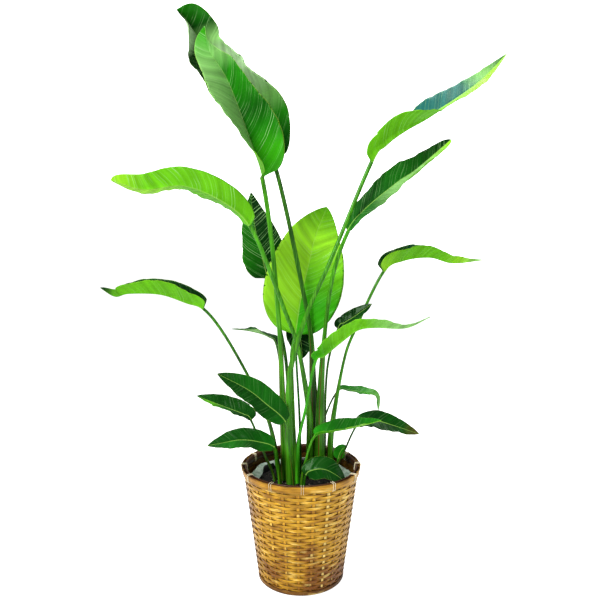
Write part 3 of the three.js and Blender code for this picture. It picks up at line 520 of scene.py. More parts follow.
def plain_surface(name, colours, scale, roughness, bump_mm, **sockets):
    """One noise-mottled finish: two colours, a rough range and a bump of the same grain."""
    material, tree = surface_tree(name)
    place = add(tree, "ShaderNodeTexCoord", out=3)
    grain = mottle(tree, place, scale, 5.0)
    mixed = remap(tree, grain, 0.35, 0.65, 0.0, 1.0)
    coat_tree(tree, Base_Color=blend(tree, mixed, *colours),
              Roughness=remap(tree, grain, 0.3, 0.7, *roughness),
              Normal=bumped(tree, grain, 0.6, bump_mm), **sockets)
    return material


# polythene film, blown thin: clear but milky where it creases, so a see-through grey-green
film_finish = plain_surface("polythene_film_crumpled", (0xC2D2C4, 0x8FA494), 55, (0.08, 0.22), 1.2,
                            IOR=1.5, Alpha=0.72)
# nursery pot of injection-moulded polypropylene: black, faintly glossy, with a fine mould grain
pot_finish = plain_surface("polypropylene_moulded_black", (0x141415, 0x1D1D1F), 900, (0.38, 0.5),
                           0.05, IOR=1.49)
# compost of bark and coir: dark, matt and crumbly
soil_finish = plain_surface("compost_crumbly", (0x060403, 0x120C08), 240, (0.85, 1.0), 1.5,
                            IOR=1.4)
# peeled cane, the pale core of rattan shaved to a flat strip
cane_finish = plain_surface("peeled_cane_pale", (0xEFE6CB, 0xD9C79C), 300, (0.4, 0.55), 0.15,
                            IOR=1.5)
weave_finish = bamboo_surface("split_bamboo_weaver", 0xE6B026, 0x94640E, 0x6E3408, woven=True)
stake_finish = bamboo_surface("split_bamboo_stake", 0xE2AA26, 0xA06C10, 0x6E3408, woven=True,
                              upright=True)
rim_finish = bamboo_surface("split_bamboo_rim", 0xD8A024, 0x8E600E, 0x6A380A)
# the inner hoop's browns are darkened far below the hoop's own brown: painted shade inside the rim
inside_shade_finish = bamboo_surface("split_bamboo_inside_painted_shade", 0x54301C, 0x341A0E, 0x240E0A)
foot_finish = bamboo_surface("split_bamboo_foot", 0x9A6C22, 0x6A4214, 0x4A280E)
leaf_upper = leaf_surface("leaf_blade_upper_waxy", True)
leaf_under = leaf_surface("leaf_blade_underside", False)
leaf_stalk = stalk_surface()


# ---------------------------------------------------------------- leaves
def smooth_line(points, first, last, shares):
    """Points at these shares of the length of a Catmull-Rom line between two of its points."""
    points = np.asarray(points, float)
    line = np.vstack([2 * points[0] - points[1], points, 2 * points[-1] - points[-2]])
    t = np.linspace(0, 1, 48, endpoint=False)[:, None]
    fine = []
    for i in range(first, last):
        a, b, c, d = line[i:i + 4]
        fine.append(0.5 * (2 * b + (c - a) * t + (2 * a - 5 * b + 4 * c - d) * t ** 2
                           + (3 * b - a - 3 * c + d) * t ** 3))
    fine = np.vstack(fine + [points[last][None]])
    run = np.concatenate([[0], np.cumsum(np.linalg.norm(np.diff(fine, axis=0), axis=1))])
    at = np.asarray(shares) * run[-1]
    return np.stack([np.interp(at, run, fine[:, k]) for k in range(3)], 1), run[-1]


def facing(leaf, s):
    ways = unit(np.array(leaf["face"], float))
    along = s * (len(ways) - 1)
    i = np.minimum(np.floor(along).astype(int), len(ways) - 2)
    return ways[i] * (1 - (along - i))[:, None] + ways[i + 1] * (along - i)[:, None]


def swelling(s, root, tip):
    peak = root / (root + tip)
    s = np.clip(s, 1e-9, 1 - 1e-9)
    return s ** root * (1 - s) ** tip / (peak ** root * (1 - peak) ** tip)


def graded(words, share):
    """A row of greens, evenly spaced from the joint to the tip, read at these shares."""
    greens = np.array([linear(GREENS[word]) for word in words.split()])
    at = np.linspace(0.03, 0.97, len(greens))
    return np.stack([np.interp(share, at, greens[:, k]) for k in range(4)], -1)


def leaf_mesh(leaf, number):
    joint = len(leaf["stalk"])
    points = leaf["stalk"] + leaf["blade"]
    half, steps, rings = (16, 84, 44) if leaf["width"] >= 70 else (12, 56, 30)
    t = np.linspace(0, 1, steps + 1)
    s = 0.55 * t + 0.45 * (1 - np.cos(math.pi * t)) / 2
    midrib, length = smooth_line(points, joint, len(points) - 1, s)
    stalk_share = np.linspace(0, 1, rings + 1)[:-1]
    stalk_line, _ = smooth_line(points, 0, joint, stalk_share)
    line = np.vstack([stalk_line, midrib])
    along = unit(np.gradient(line, axis=0))
    root_size, joint_size, sheath = leaf["thick"]
    up = square_to(facing(leaf, s), along[rings:])
    stalk_up = [up[0]]
    for i in range(rings - 1, -1, -1):
        stalk_up.append(square_to(stalk_up[-1], along[i]))
    up = np.vstack([stalk_up[:0:-1], up])
    side = np.cross(along, up)

    # the stalk: a channelled rod, with sheath edges in its lower part
    loop = 4 * half
    turn = np.linspace(-math.pi / 2, 1.5 * math.pi, loop, endpoint=False)
    share = np.concatenate([stalk_share, np.ones(steps + 1)])
    slim = ease(0.1, sheath, share)
    size = root_size + (joint_size - root_size) * slim
    hold = 1 - ease(0.7 * sheath, 1.02 * sheath, share)
    away = np.abs((turn + math.pi) % (2 * math.pi) - math.pi)
    channel = np.exp(-(away / 0.42) ** 2)
    lip = np.exp(-((away - 0.85) / 0.16) ** 2)
    radius = size[:, None] / 2 * (1.0 - (0.10 + 0.28 * hold[:, None]) * channel
                                  + 0.10 * hold[:, None] * lip)
    rod = (line[:, None] + radius[..., None] * (np.cos(turn)[None, :, None] * up[:, None]
                                                + np.sin(turn)[None, :, None] * side[:, None]))

    # the blade, station by station
    joint_radius = joint_size / 2
    blade_up, blade_side = up[rings:], side[rings:]
    least = 1.6 + (joint_radius - 1.6) * np.clip(1 - s * 12, 0, 1)
    reach = np.maximum(leaf["width"] / 2 * swelling(s, *leaf["shape"]), least)
    keel = np.minimum(joint_radius * (1 - s) ** 0.7 * 0.9 + 0.6, np.maximum(reach * 0.6, 0.5))
    raised = midrib + blade_up * keel[:, None] / 2
    calm = np.sin(math.pi * np.minimum(1, s * 1.05)) ** 0.7
    calm[s > 1 / 1.05] = 0
    height, waves, phase = leaf["wave"]
    out = (np.arange(half + 1) / half) ** 1.2
    run = s * length
    sides = {}
    for sign, wing in ((-1, leaf["left"]), (1, leaf["right"])):
        fold = np.radians(wing[0] + (wing[1] - wing[0]) * s)[:, None]
        bend = np.radians(wing[2] + (wing[3] - wing[2]) * s)[:, None] / (leaf["width"] / 2)
        d = out[None] * reach[:, None]
        angle = fold + bend * d
        across = (np.sin(angle) - np.sin(fold)) / bend
        rise = (np.cos(fold) - np.cos(angle)) / bend
        normal = (blade_up[:, None] * np.cos(angle)[..., None]
                  - sign * blade_side[:, None] * np.sin(angle)[..., None])
        swing = 2 * math.pi * waves * s + phase + (0 if sign > 0 else 1.9)
        lift = height * (calm * np.sin(swing))[:, None] * out[None] ** 2
        # pleats that follow the side veins, and a finer ripple of the margin
        vein = run[:, None] - (VEIN_LEAN + VEIN_CURVE * d) * d
        seed = 1.7 * number + sign
        body = (calm[:, None] * np.minimum(1, d / 12))
        lift = lift + body * (0.45 * np.sin(vein * 2 * math.pi / 21 + seed)
                              + 0.35 * np.sin(vein * 2 * math.pi / 13.5 + 2.3 * seed)
                              + 1.1 * out[None] * np.sin(vein * 2 * math.pi / 67 + 3.1 * seed))
        lift = lift + calm[:, None] * out[None] ** 6 * 1.1 * np.sin(
            run[:, None] * 2 * math.pi / (34 + 5 * math.sin(seed)) + 4.7 * seed)
        spot = (raised[:, None] + sign * blade_side[:, None] * across[..., None]
                + blade_up[:, None] * rise[..., None] + normal * lift[..., None])
        thick = 0.6 * np.sqrt(np.maximum(1 - out[None] ** 8, 0))
        ridge_width = np.maximum(keel * 0.8, 1.0)[:, None]
        ridge = np.maximum(1.5 * keel - 0.6, 0)[:, None] * np.exp(-(d / ridge_width) ** 2)
        groove = np.minimum(0.5, keel * 0.3)[:, None] * np.exp(-(d / 1.8) ** 2)
        upper = spot + normal * thick[..., None] - blade_up[:, None] * groove[..., None]
        lower = spot - normal * thick[..., None] - blade_up[:, None] * ridge[..., None]
        sides[sign] = upper, lower, sign * d
    section = np.concatenate([sides[-1][0][:, ::-1], sides[1][0][:, 1:],
                              sides[1][1][:, half - 1::-1], sides[-1][1][:, 1:half]], 1)
    across = np.concatenate([sides[-1][2][:, ::-1], sides[1][2][:, 1:],
                             sides[1][2][:, half - 1::-1], sides[-1][2][:, 1:half]], 1)
    settle = ease(0, 0.03, s)[:, None, None]
    body = rod.copy()
    body[rings:] = rod[rings:] * (1 - settle) + section * settle

    count = rings + steps + 1
    ids = np.arange(count * loop).reshape(count, loop)
    nxt = np.roll(ids, -1, axis=1)
    quads = np.stack([ids[:-1], nxt[:-1], nxt[1:], ids[1:]], -1).reshape(-1, 4)
    all_points = np.vstack([body.reshape(-1, 3), body[0].mean(axis=0), body[-1].mean(axis=0)])
    foot, tip = count * loop, count * loop + 1
    faces = [tuple(q) for q in quads.tolist()]
    faces += [(foot, int(b), int(a)) for a, b in zip(ids[0], nxt[0])]
    faces += [(tip, int(a), int(b)) for a, b in zip(ids[-1], nxt[-1])]
    mesh = mesh_from(leaf["name"] + "_grown", all_points, faces)

    # which face each polygon belongs to: 0 upper, 1 underside, 2 stalk
    kind = np.where(np.arange(loop)[None] < 2 * half, 0, 1) * np.ones((count - 1, 1), int)
    kind[:rings + 1] = 2
    mesh.polygons.foreach_set("material_index", np.concatenate(
        [kind.ravel(), np.full(loop, 2), np.where(np.arange(loop) < 2 * half, 0, 1)]).astype(int))

    # what the materials read, point by point
    share_all = np.concatenate([stalk_share - 1, s])[:, None] * np.ones((1, loop))
    across[:2] = 0                               # the joint: neither half yet
    across_all = np.vstack([hold[:rings, None] * lip[None], across])
    along_all = np.concatenate([np.zeros(rings), run])[:, None] * np.ones((1, loop))
    reach_all = np.concatenate([np.full(rings, 1e3), np.maximum(reach, 8)])[:, None]
    outness = np.abs(across_all) / reach_all
    *words, stalk_word, veining = LOOKS[leaf["name"]]
    stalk_green = np.array(linear(GREENS[stalk_word]))
    on_right = ease(-2, 2, across_all)[..., None]
    joined = ease(-0.02, 0.04, share_all)[..., None]
    values = {"share": share_all, "across": across_all, "along": along_all, "outness": outness,
              "veining": np.full(share_all.shape, veining)}
    for label, value in values.items():
        flat = np.concatenate([value.ravel(), value[0, :1], value[-1, :1]])
        mesh.attributes.new(label, "FLOAT", "POINT").data.foreach_set("value", flat)
    for label, (left, right) in (("upper_green", words[:2]), ("under_green", words[2:])):
        tint = graded(left, share_all) * (1 - on_right) + graded(right, share_all) * on_right
        value = stalk_green * (1 - joined) + tint * joined
        flat = np.vstack([value.reshape(-1, 4), value[0, :1], value[-1, :1]])
        mesh.attributes.new(label, "FLOAT_COLOR", "POINT").data.foreach_set("color", flat.ravel())
    return mesh


for number, leaf in enumerate(LEAVES):
    dressed(leaf["name"] + "_grown", leaf_mesh(leaf, number), leaf["name"],
            [leaf_upper, leaf_under, leaf_stalk])


# ---------------------------------------------------------------- things that repeat
def tree_with(name, sizes):
    """A Geometry Nodes tree with these named inputs; gives the tree and the inputs' outputs."""
    tree = bpy.data.node_groups.new(name, "GeometryNodeTree")
    for label, (kind, value) in sizes.items():
        socket = tree.interface.new_socket(name=label, in_out="INPUT", socket_type=kind)
        socket.default_value = value
    tree.interface.new_socket(name="Geometry", in_out="OUTPUT",
                              socket_type="NodeSocketGeometry")
    entry = tree.nodes.new("NodeGroupInput")
    return tree, {label: entry.outputs[label] for label in sizes}


def finish_tree(tree, geometry, material):
    """Ends a tree in Realize Instances and Set Material."""
    real = add(tree, "GeometryNodeRealizeInstances", {"Geometry": geometry})
    dyed = add(tree, "GeometryNodeSetMaterial", {"Geometry": real, "Material": material})
    add(tree, "NodeGroupOutput", {"Geometry": dyed}, out=None)


def stored(tree, geometry, name, value, domain="POINT"):
    """Lets the geometry carry a number under this name, for its material to read."""
    return add(tree, "GeometryNodeStoreNamedAttribute",
               {"Geometry": geometry, "Name": name, "Value": value}, data_type="FLOAT",
               domain=domain)


def chance(tree, seed):
    """A number from 0 to 1 for each copy."""
    return add(tree, "FunctionNodeRandomValue", {"Seed": seed}, out=1, data_type="FLOAT")


def round_the_basket(tree, shape, count, copies, phase):
    """Copies of a shape that stands at the front, spread evenly round Z."""
    spots = add(tree, "GeometryNodeMeshLine", {"Count": count, "Offset": (0, 0, 0)}, mode="OFFSET")
    index = add(tree, "GeometryNodeInputIndex")
    turn = calc(tree, "MULTIPLY_ADD", index, 2 * math.pi / copies, math.radians(phase))
    turned = add(tree, "ShaderNodeCombineXYZ", {2: turn})
    return add(tree, "GeometryNodeInstanceOnPoints", {"Points": spots, "Instance": shape,
                                                      "Rotation": turned}), index


def grown(name, tree):
    """The mesh that a Geometry Nodes tree makes."""
    carrier = bpy.data.objects.new(name, bpy.data.meshes.new(name))
    bpy.context.scene.collection.objects.link(carrier)
    modifier = carrier.modifiers.new("grow", "NODES")
    modifier.node_group = tree
    evaluated = carrier.evaluated_get(bpy.context.evaluated_depsgraph_get())
    mesh = bpy.data.meshes.new_from_object(evaluated)
    mesh.name = name
    bpy.data.objects.remove(carrier)
    return mesh


LENGTH, WHOLE = "NodeSocketFloat", "NodeSocketInt"
DRUM = 125 * MM               # the weave is made on a drum of this radius, then fitted
WEAVER_WIDTH, STAKE_WIDTH, SPLIT_THICKNESS = 9.2, 8.0, 1.3
ROWS, ROWS_BELOW = 46, 12     # weavers in all, and how many of them lie under the wall's first


def crossing(tree, inputs, position):
    """How far over (1) or under (-1) the weaver passes at a position, and the way outwards."""
    parts = add(tree, "ShaderNodeSeparateXYZ", {0: position}, out=None).outputs
    angle = calc(tree, "ARCTAN2", parts[0], calc(tree, "MULTIPLY", parts[1], -1.0))
    from_first = calc(tree, "SUBTRACT", angle, math.radians(STAKE_PHASE))
    half_stakes = calc(tree, "MULTIPLY", inputs["Stakes"], 0.5)
    by_stake = calc(tree, "MULTIPLY", from_first, half_stakes)
    above = calc(tree, "SUBTRACT", parts[2], WEAVE_START * MM)
    row = calc(tree, "DIVIDE", above, inputs["Row height"])
    over = calc(tree, "COSINE", calc(tree, "MULTIPLY_ADD", row, math.pi, by_stake))
    flat = add(tree, "ShaderNodeVectorMath", {0: position, 1: (1, 1, 0)}, operation="MULTIPLY")
    outward = add(tree, "ShaderNodeVectorMath", {0: flat}, operation="NORMALIZE")
    return over, outward


def pushed(tree, geometry, over, outward, reach):
    """Moves a weave point outwards where it crosses over, inwards where it goes under."""
    squared = calc(tree, "MULTIPLY", over, over)
    flatter = calc(tree, "MULTIPLY_ADD", squared, -0.5, 1.5)
    shaped = calc(tree, "MULTIPLY", over, flatter)
    distance = calc(tree, "MULTIPLY", shaped, reach)
    offset = scaled(tree, outward, distance)
    return add(tree, "GeometryNodeSetPosition", {"Geometry": geometry, "Offset": offset})


def weavers():
    """Flat bamboo weavers, one ring above another, each over one stake and under the next."""
    tree, size = tree_with("basket_weavers", {
        "Rows": (WHOLE, ROWS), "Row height": (LENGTH, ROW_HEIGHT * MM), "Stakes": (WHOLE, STAKES),
        "Strip width": (LENGTH, WEAVER_WIDTH * MM), "Thickness": (LENGTH, SPLIT_THICKNESS * MM),
        "Relief": (LENGTH, 1.0 * MM), "Seed": (WHOLE, 5)})
    lift = add(tree, "ShaderNodeCombineXYZ", {2: size["Row height"]})
    lowest = (0, 0, (WEAVE_START - ROWS_BELOW * ROW_HEIGHT) * MM)
    rows = add(tree, "GeometryNodeMeshLine", {
        "Count": size["Rows"], "Start Location": lowest, "Offset": lift}, mode="OFFSET")
    ring = add(tree, "GeometryNodeCurvePrimitiveCircle", {"Resolution": 144, "Radius": DRUM})
    rings = add(tree, "GeometryNodeInstanceOnPoints", {"Points": rows, "Instance": ring})
    marked = stored(tree, rings, "strip", chance(tree, size["Seed"]), "INSTANCE")
    real = add(tree, "GeometryNodeRealizeInstances", {"Geometry": marked})
    position = add(tree, "GeometryNodeInputPosition")
    over, outward = crossing(tree, size, position)
    dipped = stored(tree, real, "dip", over)
    waved = pushed(tree, dipped, over, outward, size["Relief"])
    upright = add(tree, "GeometryNodeSetCurveNormal", {"Curve": waved}, mode="Z_UP")
    flat = add(tree, "GeometryNodeCurvePrimitiveQuadrilateral", {
        "Width": size["Thickness"], "Height": size["Strip width"]}, mode="RECTANGLE")
    eased = add(tree, "GeometryNodeFilletCurve", {
        "Curve": flat, "Count": 2, "Radius": 0.6 * MM, "Limit Radius": True}, mode="POLY")
    across = add(tree, "ShaderNodeSeparateXYZ", {0: position}, out=1)
    edged = stored(tree, eased, "edge", calc(tree, "MULTIPLY", across, 2 / (WEAVER_WIDTH * MM)))
    # each strip leans a little over the one below it
    profile = add(tree, "GeometryNodeTransform", {
        "Geometry": edged, "Rotation": (0, 0, math.radians(3))})
    strips = add(tree, "GeometryNodeCurveToMesh", {"Curve": upright, "Profile Curve": profile})
    finish_tree(tree, strips, weave_finish)
    return grown("basket_weavers", tree)


def stakes():
    """Upright splints, from the middle of the floor, round the corner and up to the rim."""
    low, high = -95, 287          # ends on the drum, where below 0 is the floor's part
    tree, size = tree_with("basket_stakes", {
        "Row height": (LENGTH, ROW_HEIGHT * MM), "Stakes": (WHOLE, STAKES),
        "Strip width": (LENGTH, STAKE_WIDTH * MM), "Thickness": (LENGTH, SPLIT_THICKNESS * MM),
        "Relief": (LENGTH, 0.35 * MM), "Seed": (WHOLE, 8)})
    tall = add(tree, "ShaderNodeCombineXYZ", {
        0: size["Strip width"], 1: size["Thickness"], 2: (high - low) * MM})
    splint = add(tree, "GeometryNodeMeshCube", {
        "Size": tall, "Vertices X": 4, "Vertices Y": 2, "Vertices Z": 190})
    position = add(tree, "GeometryNodeInputPosition")
    across = add(tree, "ShaderNodeSeparateXYZ", {0: position}, out=0)
    edged = stored(tree, splint, "edge", calc(tree, "MULTIPLY", across, 2 / (STAKE_WIDTH * MM)))
    placed = add(tree, "GeometryNodeTransform", {
        "Geometry": edged, "Translation": (0, -DRUM, (high + low) / 2 * MM)})
    stood, index = round_the_basket(tree, placed, size["Stakes"], STAKES, STAKE_PHASE)
    # the third stake from the front is a paler splint than the rest
    from_third = calc(tree, "SUBTRACT", index, 2.0)
    paler = add(tree, "FunctionNodeCompare", {"A": from_third, "B": 0.0, "Epsilon": 0.1},
                data_type="FLOAT", operation="EQUAL")
    tone = calc(tree, "MULTIPLY_ADD", paler, 2.0, chance(tree, size["Seed"]))
    marked = stored(tree, stood, "strip", tone, "INSTANCE")
    real = add(tree, "GeometryNodeRealizeInstances", {"Geometry": marked})
    over, outward = crossing(tree, size, position)
    under = calc(tree, "MULTIPLY", over, -1.0)
    dipped = stored(tree, real, "dip", under)
    finish_tree(tree, pushed(tree, dipped, under, outward, size["Relief"]), stake_finish)
    return grown("basket_stakes", tree)


WEAVE_DEPTH = -1.6            # middle of the weave, from the cone's surface
CORNER_START = 9              # height where the wall starts to turn under
CORNER_BEND = 9.46            # radius of that turn
CORNER_TUCK = 3.4             # how far the wall draws in just above it


def cone(z):
    """The basket's outer radius at a height (mm)."""
    return BASE_RADIUS + CONE_SLOPE * z


def onto_basket(points):
    """Fits points made on the drum (mm) to the wall, the rounded corner and the floor."""
    lean = math.atan(CONE_SLOPE)
    flat = np.linalg.norm(points[:, :2], axis=1)
    way = points[:, :2] / flat[:, None]
    depth = flat - DRUM / MM + WEAVE_DEPTH
    height = points[:, 2]
    drawn_in = CORNER_TUCK * (1 - ease(CORNER_START, 15, height))
    wall_r = cone(height) - drawn_in + depth * math.cos(lean)
    wall_z = height - depth * math.sin(lean)
    start_r = cone(CORNER_START) - CORNER_TUCK
    bend_r = start_r - CORNER_BEND * math.cos(lean)
    bend_z = CORNER_START + CORNER_BEND * math.sin(lean)
    turn = np.clip((CORNER_START - height) / CORNER_BEND, 0, math.pi / 2 - lean)
    turned_r = bend_r + (CORNER_BEND + depth) * np.cos(lean + turn)
    turned_z = bend_z - (CORNER_BEND + depth) * np.sin(lean + turn)
    floor_start = CORNER_START - CORNER_BEND * (math.pi / 2 - lean)
    floor_r = bend_r - (floor_start - height)
    floor_z = bend_z - CORNER_BEND - depth
    on_wall, on_floor = height >= CORNER_START, height < floor_start
    r = np.where(on_wall, wall_r, np.where(on_floor, floor_r, turned_r))
    z = np.where(on_wall, wall_z, np.where(on_floor, floor_z, turned_z))
    return np.column_stack([way * r[:, None], z])


def points_of(mesh):
    flat = np.empty(len(mesh.vertices) * 3, np.float32)
    mesh.vertices.foreach_get("co", flat)
    return flat.reshape(-1, 3)


def reshape(mesh, change):
    """Moves a mesh's points (mm in, mm out)."""
    moved = change(points_of(mesh).astype(float) / MM) * MM
    mesh.vertices.foreach_set("co", moved.ravel().astype(np.float32))
    mesh.update()


def set_run(mesh):
    """Length along an upright strip, in millimetres, for its fibres."""
    mesh.attributes.new("run", "FLOAT", "POINT").data.foreach_set(
        "value", points_of(mesh)[:, 2] / MM)


def outward_faces(mesh, join_mm=0):
    """Turns every face outwards, after joining points closer than this."""
    work = bmesh.new()
    work.from_mesh(mesh)
    if join_mm:
        bmesh.ops.remove_doubles(work, verts=work.verts, dist=join_mm * MM)
    bmesh.ops.recalc_face_normals(work, faces=work.faces)
    work.to_mesh(mesh)
    work.free()


def turned_mesh(name, profile, columns, bump=None):
    """A closed ring of section points (mm) turned round Z, with its strip attributes."""
    profile = np.asarray(profile, float)
    angle = 2 * math.pi * np.arange(columns) / columns
    r = np.repeat(profile[None, :, 0], columns, 0)
    z = np.repeat(profile[None, :, 1], columns, 0)
    if bump:
        r, z = bump(angle[:, None], r, z)
    points = np.stack([r * np.sin(angle)[:, None], -r * np.cos(angle)[:, None], z], -1)
    count = len(profile)
    ids = np.arange(columns * count).reshape(columns, count)
    right, above = np.roll(ids, -1, 0), np.roll(ids, -1, 1)
    both = np.roll(right, -1, 1)
    faces = np.stack([ids, right, both, above], -1).reshape(-1, 4).tolist()
    mesh = mesh_from(name, points.reshape(-1, 3), faces)
    outward_faces(mesh)
    low, high = profile[:, 1].min(), profile[:, 1].max()
    edge = (2 * profile[:, 1] - low - high) / (high - low)
    for label, value in (("edge", np.tile(edge, columns)), ("dip", 1.0), ("strip", 0.4)):
        data = np.broadcast_to(value, columns * count).astype(np.float32)
        mesh.attributes.new(label, "FLOAT", "POINT").data.foreach_set("value", data)
    return mesh


def rounded_bar(low, high, inner_low, inner_high, thick):
    """Section of a hoop that leans with the cone, its long edges rounded."""
    corners = []
    for z_share, out_share in ((0, 0.3), (0, 0.7), (0.05, 1), (0.3, 1.06), (0.5, 1.08),
                               (0.7, 1.06), (0.95, 1), (1, 0.7), (1, 0.3), (0.95, 0),
                               (0.5, 0), (0.05, 0)):
        z = low + (high - low) * z_share
        inner = inner_low + (inner_high - inner_low) * z_share
        corners.append((inner + thick * out_share, z))
    return corners


def scarfed(angle, r, z):
    """The outer hoop's end laps over its start in a slanting step, left of the middle."""
    turn = (np.degrees(angle) + 180) % 360 - 180
    step = -10 + 7 * (RIM_TOP - z) / (RIM_TOP - RIM_BOTTOM)
    outer = r > cone(z) + 1.5
    lap = np.where(turn < step, np.clip((turn + 75) / 60, 0, 1), 0)
    wobble = 0.25 * np.sin(3 * angle + 0.7) + 0.2 * np.sin(7 * angle)
    band = 0.22 * np.cos(2 * math.pi * (z - RIM_BOTTOM) / 8.7)
    return r + np.where(outer, 0.9 * lap + band, 0) + wobble * 0.4, z + wobble * 1.2


weave = weavers()
reshape(weave, onto_basket)
outward_faces(weave)
smooth(weave)
dressed("basket_weavers", weave, "basket_weave", [])
splints = stakes()
set_run(splints)
reshape(splints, onto_basket)
outward_faces(splints)
dressed("basket_stakes", splints, "basket_weave", [])
rim = turned_mesh("rim_outer_hoop_split", rounded_bar(
    RIM_BOTTOM, RIM_TOP, cone(RIM_BOTTOM) + 0.4, cone(RIM_TOP) + 0.4, 2.5), 180, scarfed)
dressed("rim_outer_hoop_split", rim, "rim_outer_hoop", [rim_finish])
inside = turned_mesh("rim_inner_hoop_split", rounded_bar(
    RIM_BOTTOM, RIM_TOP, cone(RIM_BOTTOM) - 8.9, cone(RIM_TOP) - 8.9, 4.0), 180)
dressed("rim_inner_hoop_split", inside, "rim_inner_hoop", [inside_shade_finish])
foot = turned_mesh("foot_hoop_split", rounded_bar(2, 12, 106.8, 106.8, 2.4), 180)
dressed("foot_hoop_split", foot, "foot_hoop", [foot_finish])


def lashings():
    """Peeled cane wound twice over both hoops, twelve times round the rim."""
    low, high = RIM_BOTTOM - 0.7, RIM_TOP + 0.7
    tree, size = tree_with("rim_lashings", {
        "Count": (WHOLE, LASHINGS), "Strip width": (LENGTH, 2.3 * MM),
        "Thickness": (LENGTH, 0.9 * MM), "Spread": (LENGTH, 1.55 * MM)})
    corners = [(0, -(cone(z) + side) * MM, z * MM) for side, z in
               ((-9.7, low), (4.2, low), (4.2, high), (-9.7, high))]
    outline = {f"Point {i + 1}": corner for i, corner in enumerate(corners)}
    wrap = add(tree, "GeometryNodeCurvePrimitiveQuadrilateral", outline, mode="POINTS")
    rounded = add(tree, "GeometryNodeFilletCurve", {
        "Curve": wrap, "Count": 4, "Radius": 2.2 * MM, "Limit Radius": True}, mode="POLY")
    subdivided = add(tree, "GeometryNodeSubdivideCurve", {"Curve": rounded, "Cuts": 2})
    oval = add(tree, "GeometryNodeCurvePrimitiveCircle", {"Resolution": 8, "Radius": 0.5})
    measure = add(tree, "ShaderNodeCombineXYZ", {
        0: size["Thickness"], 1: size["Strip width"], 2: 1.0})
    profile = add(tree, "GeometryNodeTransform", {"Geometry": oval, "Scale": measure})
    strip = add(tree, "GeometryNodeCurveToMesh", {"Curve": subdivided, "Profile Curve": profile})
    back = calc(tree, "MULTIPLY", size["Spread"], -1.0)
    pair = add(tree, "GeometryNodeJoinGeometry", out=None)
    for shift, tilt in ((size["Spread"], 0.006), (back, -0.004)):
        aside = add(tree, "ShaderNodeCombineXYZ", {0: shift})
        moved = add(tree, "GeometryNodeTransform", {
            "Geometry": strip, "Translation": aside, "Rotation": (0, tilt * 0.2, tilt)})
        tree.links.new(moved, pair.inputs[0])
    wound, _ = round_the_basket(tree, pair.outputs[0], size["Count"], LASHINGS, LASHING_PHASE)
    finish_tree(tree, wound, cane_finish)
    return grown("rim_lashings_cane", tree)


lashing_mesh = lashings()
outward_faces(lashing_mesh)
smooth(lashing_mesh)
cane = dressed("rim_lashings_cane", lashing_mesh, "rim_lashing_1", [])
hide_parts(*[f"rim_lashing_{i}" for i in range(1, LASHINGS + 1)])


# ---------------------------------------------------------------- film, pot and soil
def film_bag():
    """Thin film between pot and basket, crumpled, its loose edge flopped over the pot's lip."""
    columns, rows = 230, 40
    angle = 2 * math.pi * np.arange(columns) / columns
    # height on the wall, then the flop: a share of the way over the lip
    wall = np.array([[95, 6.0], [97, 12], [103, 80], [111, 150], [119, 215], [128.5, 257]])
    share = np.linspace(0, 1, rows)
    along = np.concatenate([[0], np.cumsum(np.linalg.norm(np.diff(wall, axis=0), axis=1))])
    base_r = np.interp(share * along[-1], along, wall[:, 0])
    base_z = np.interp(share * along[-1], along, wall[:, 1])
    flop = np.linspace(0, 1, 12)[1:]
    points = []
    for a in angle:
        level = np.clip((base_z - 80) / 177, 0, 1)
        fold = 2.4 * math.sin(5 * a + 0.6) + 1.6 * np.sin(11 * a + level)
        crease = np.array([noise.ridged_multi_fractal(
            Vector((9 * math.sin(a), 9 * math.cos(a), z / 24)), 0.8, 2.1, 3, 0.9, 2.0)
            for z in base_z]) - 1.0
        r = base_r + level ** 1.5 * fold + level * 1.5 * crease
        edge = 4 * math.sin(3 * a + 1) + 2.5 * math.sin(8 * a)
        z = base_z + np.clip((base_z - 215) / 42, 0, 1) * edge * 0.6
        # how far the edge flops: long at the left and right, short at the front and back
        reach = 6 + 15 * abs(math.sin(a + 0.15)) ** 2 + 4 * math.sin(7 * a + 1)
        bend = flop * math.pi * 0.62
        over_r = r[-1] - reach * (1 - np.cos(bend)) * 0.75
        over_z = z[-1] + 3.5 * np.sin(bend) - 7 * flop ** 2
        ripple = np.array([noise.noise(Vector((14 * math.sin(a), 14 * math.cos(a), f * 3)))
                           for f in flop]) * 3.0 * flop
        over_z = np.maximum(over_z + ripple, np.where(over_r > 113.5, 258.9, 247.5))
        keep = cone(z) - 4.4
        r = np.minimum(r, keep)
        r = np.where(z > 246, np.maximum(r, 121.9), r)
        rr, zz = np.concatenate([r, over_r]), np.concatenate([z, over_z])
        points.append(np.column_stack([rr * math.sin(a), -rr * math.cos(a), zz]))
    outer = np.array(points)
    # the inner face: moved along the surface normal by the film's thickness
    round_way = np.roll(outer, -1, 0) - np.roll(outer, 1, 0)
    up_way = np.gradient(outer, axis=1)
    normal = unit(np.cross(round_way, up_way))
    inner = outer - normal * 0.35
    count = outer.shape[1]
    both = np.concatenate([outer, inner[:, ::-1]], 1)
    ids = np.arange(columns * 2 * count).reshape(columns, 2 * count)
    right, above = np.roll(ids, -1, 0), np.roll(ids, -1, 1)
    quads = np.stack([ids, right, np.roll(right, -1, 1), above], -1).reshape(-1, 4)
    mesh = mesh_from("film_bag_crumpled", both.reshape(-1, 3), [tuple(q) for q in quads.tolist()])
    outward_faces(mesh)
    return mesh


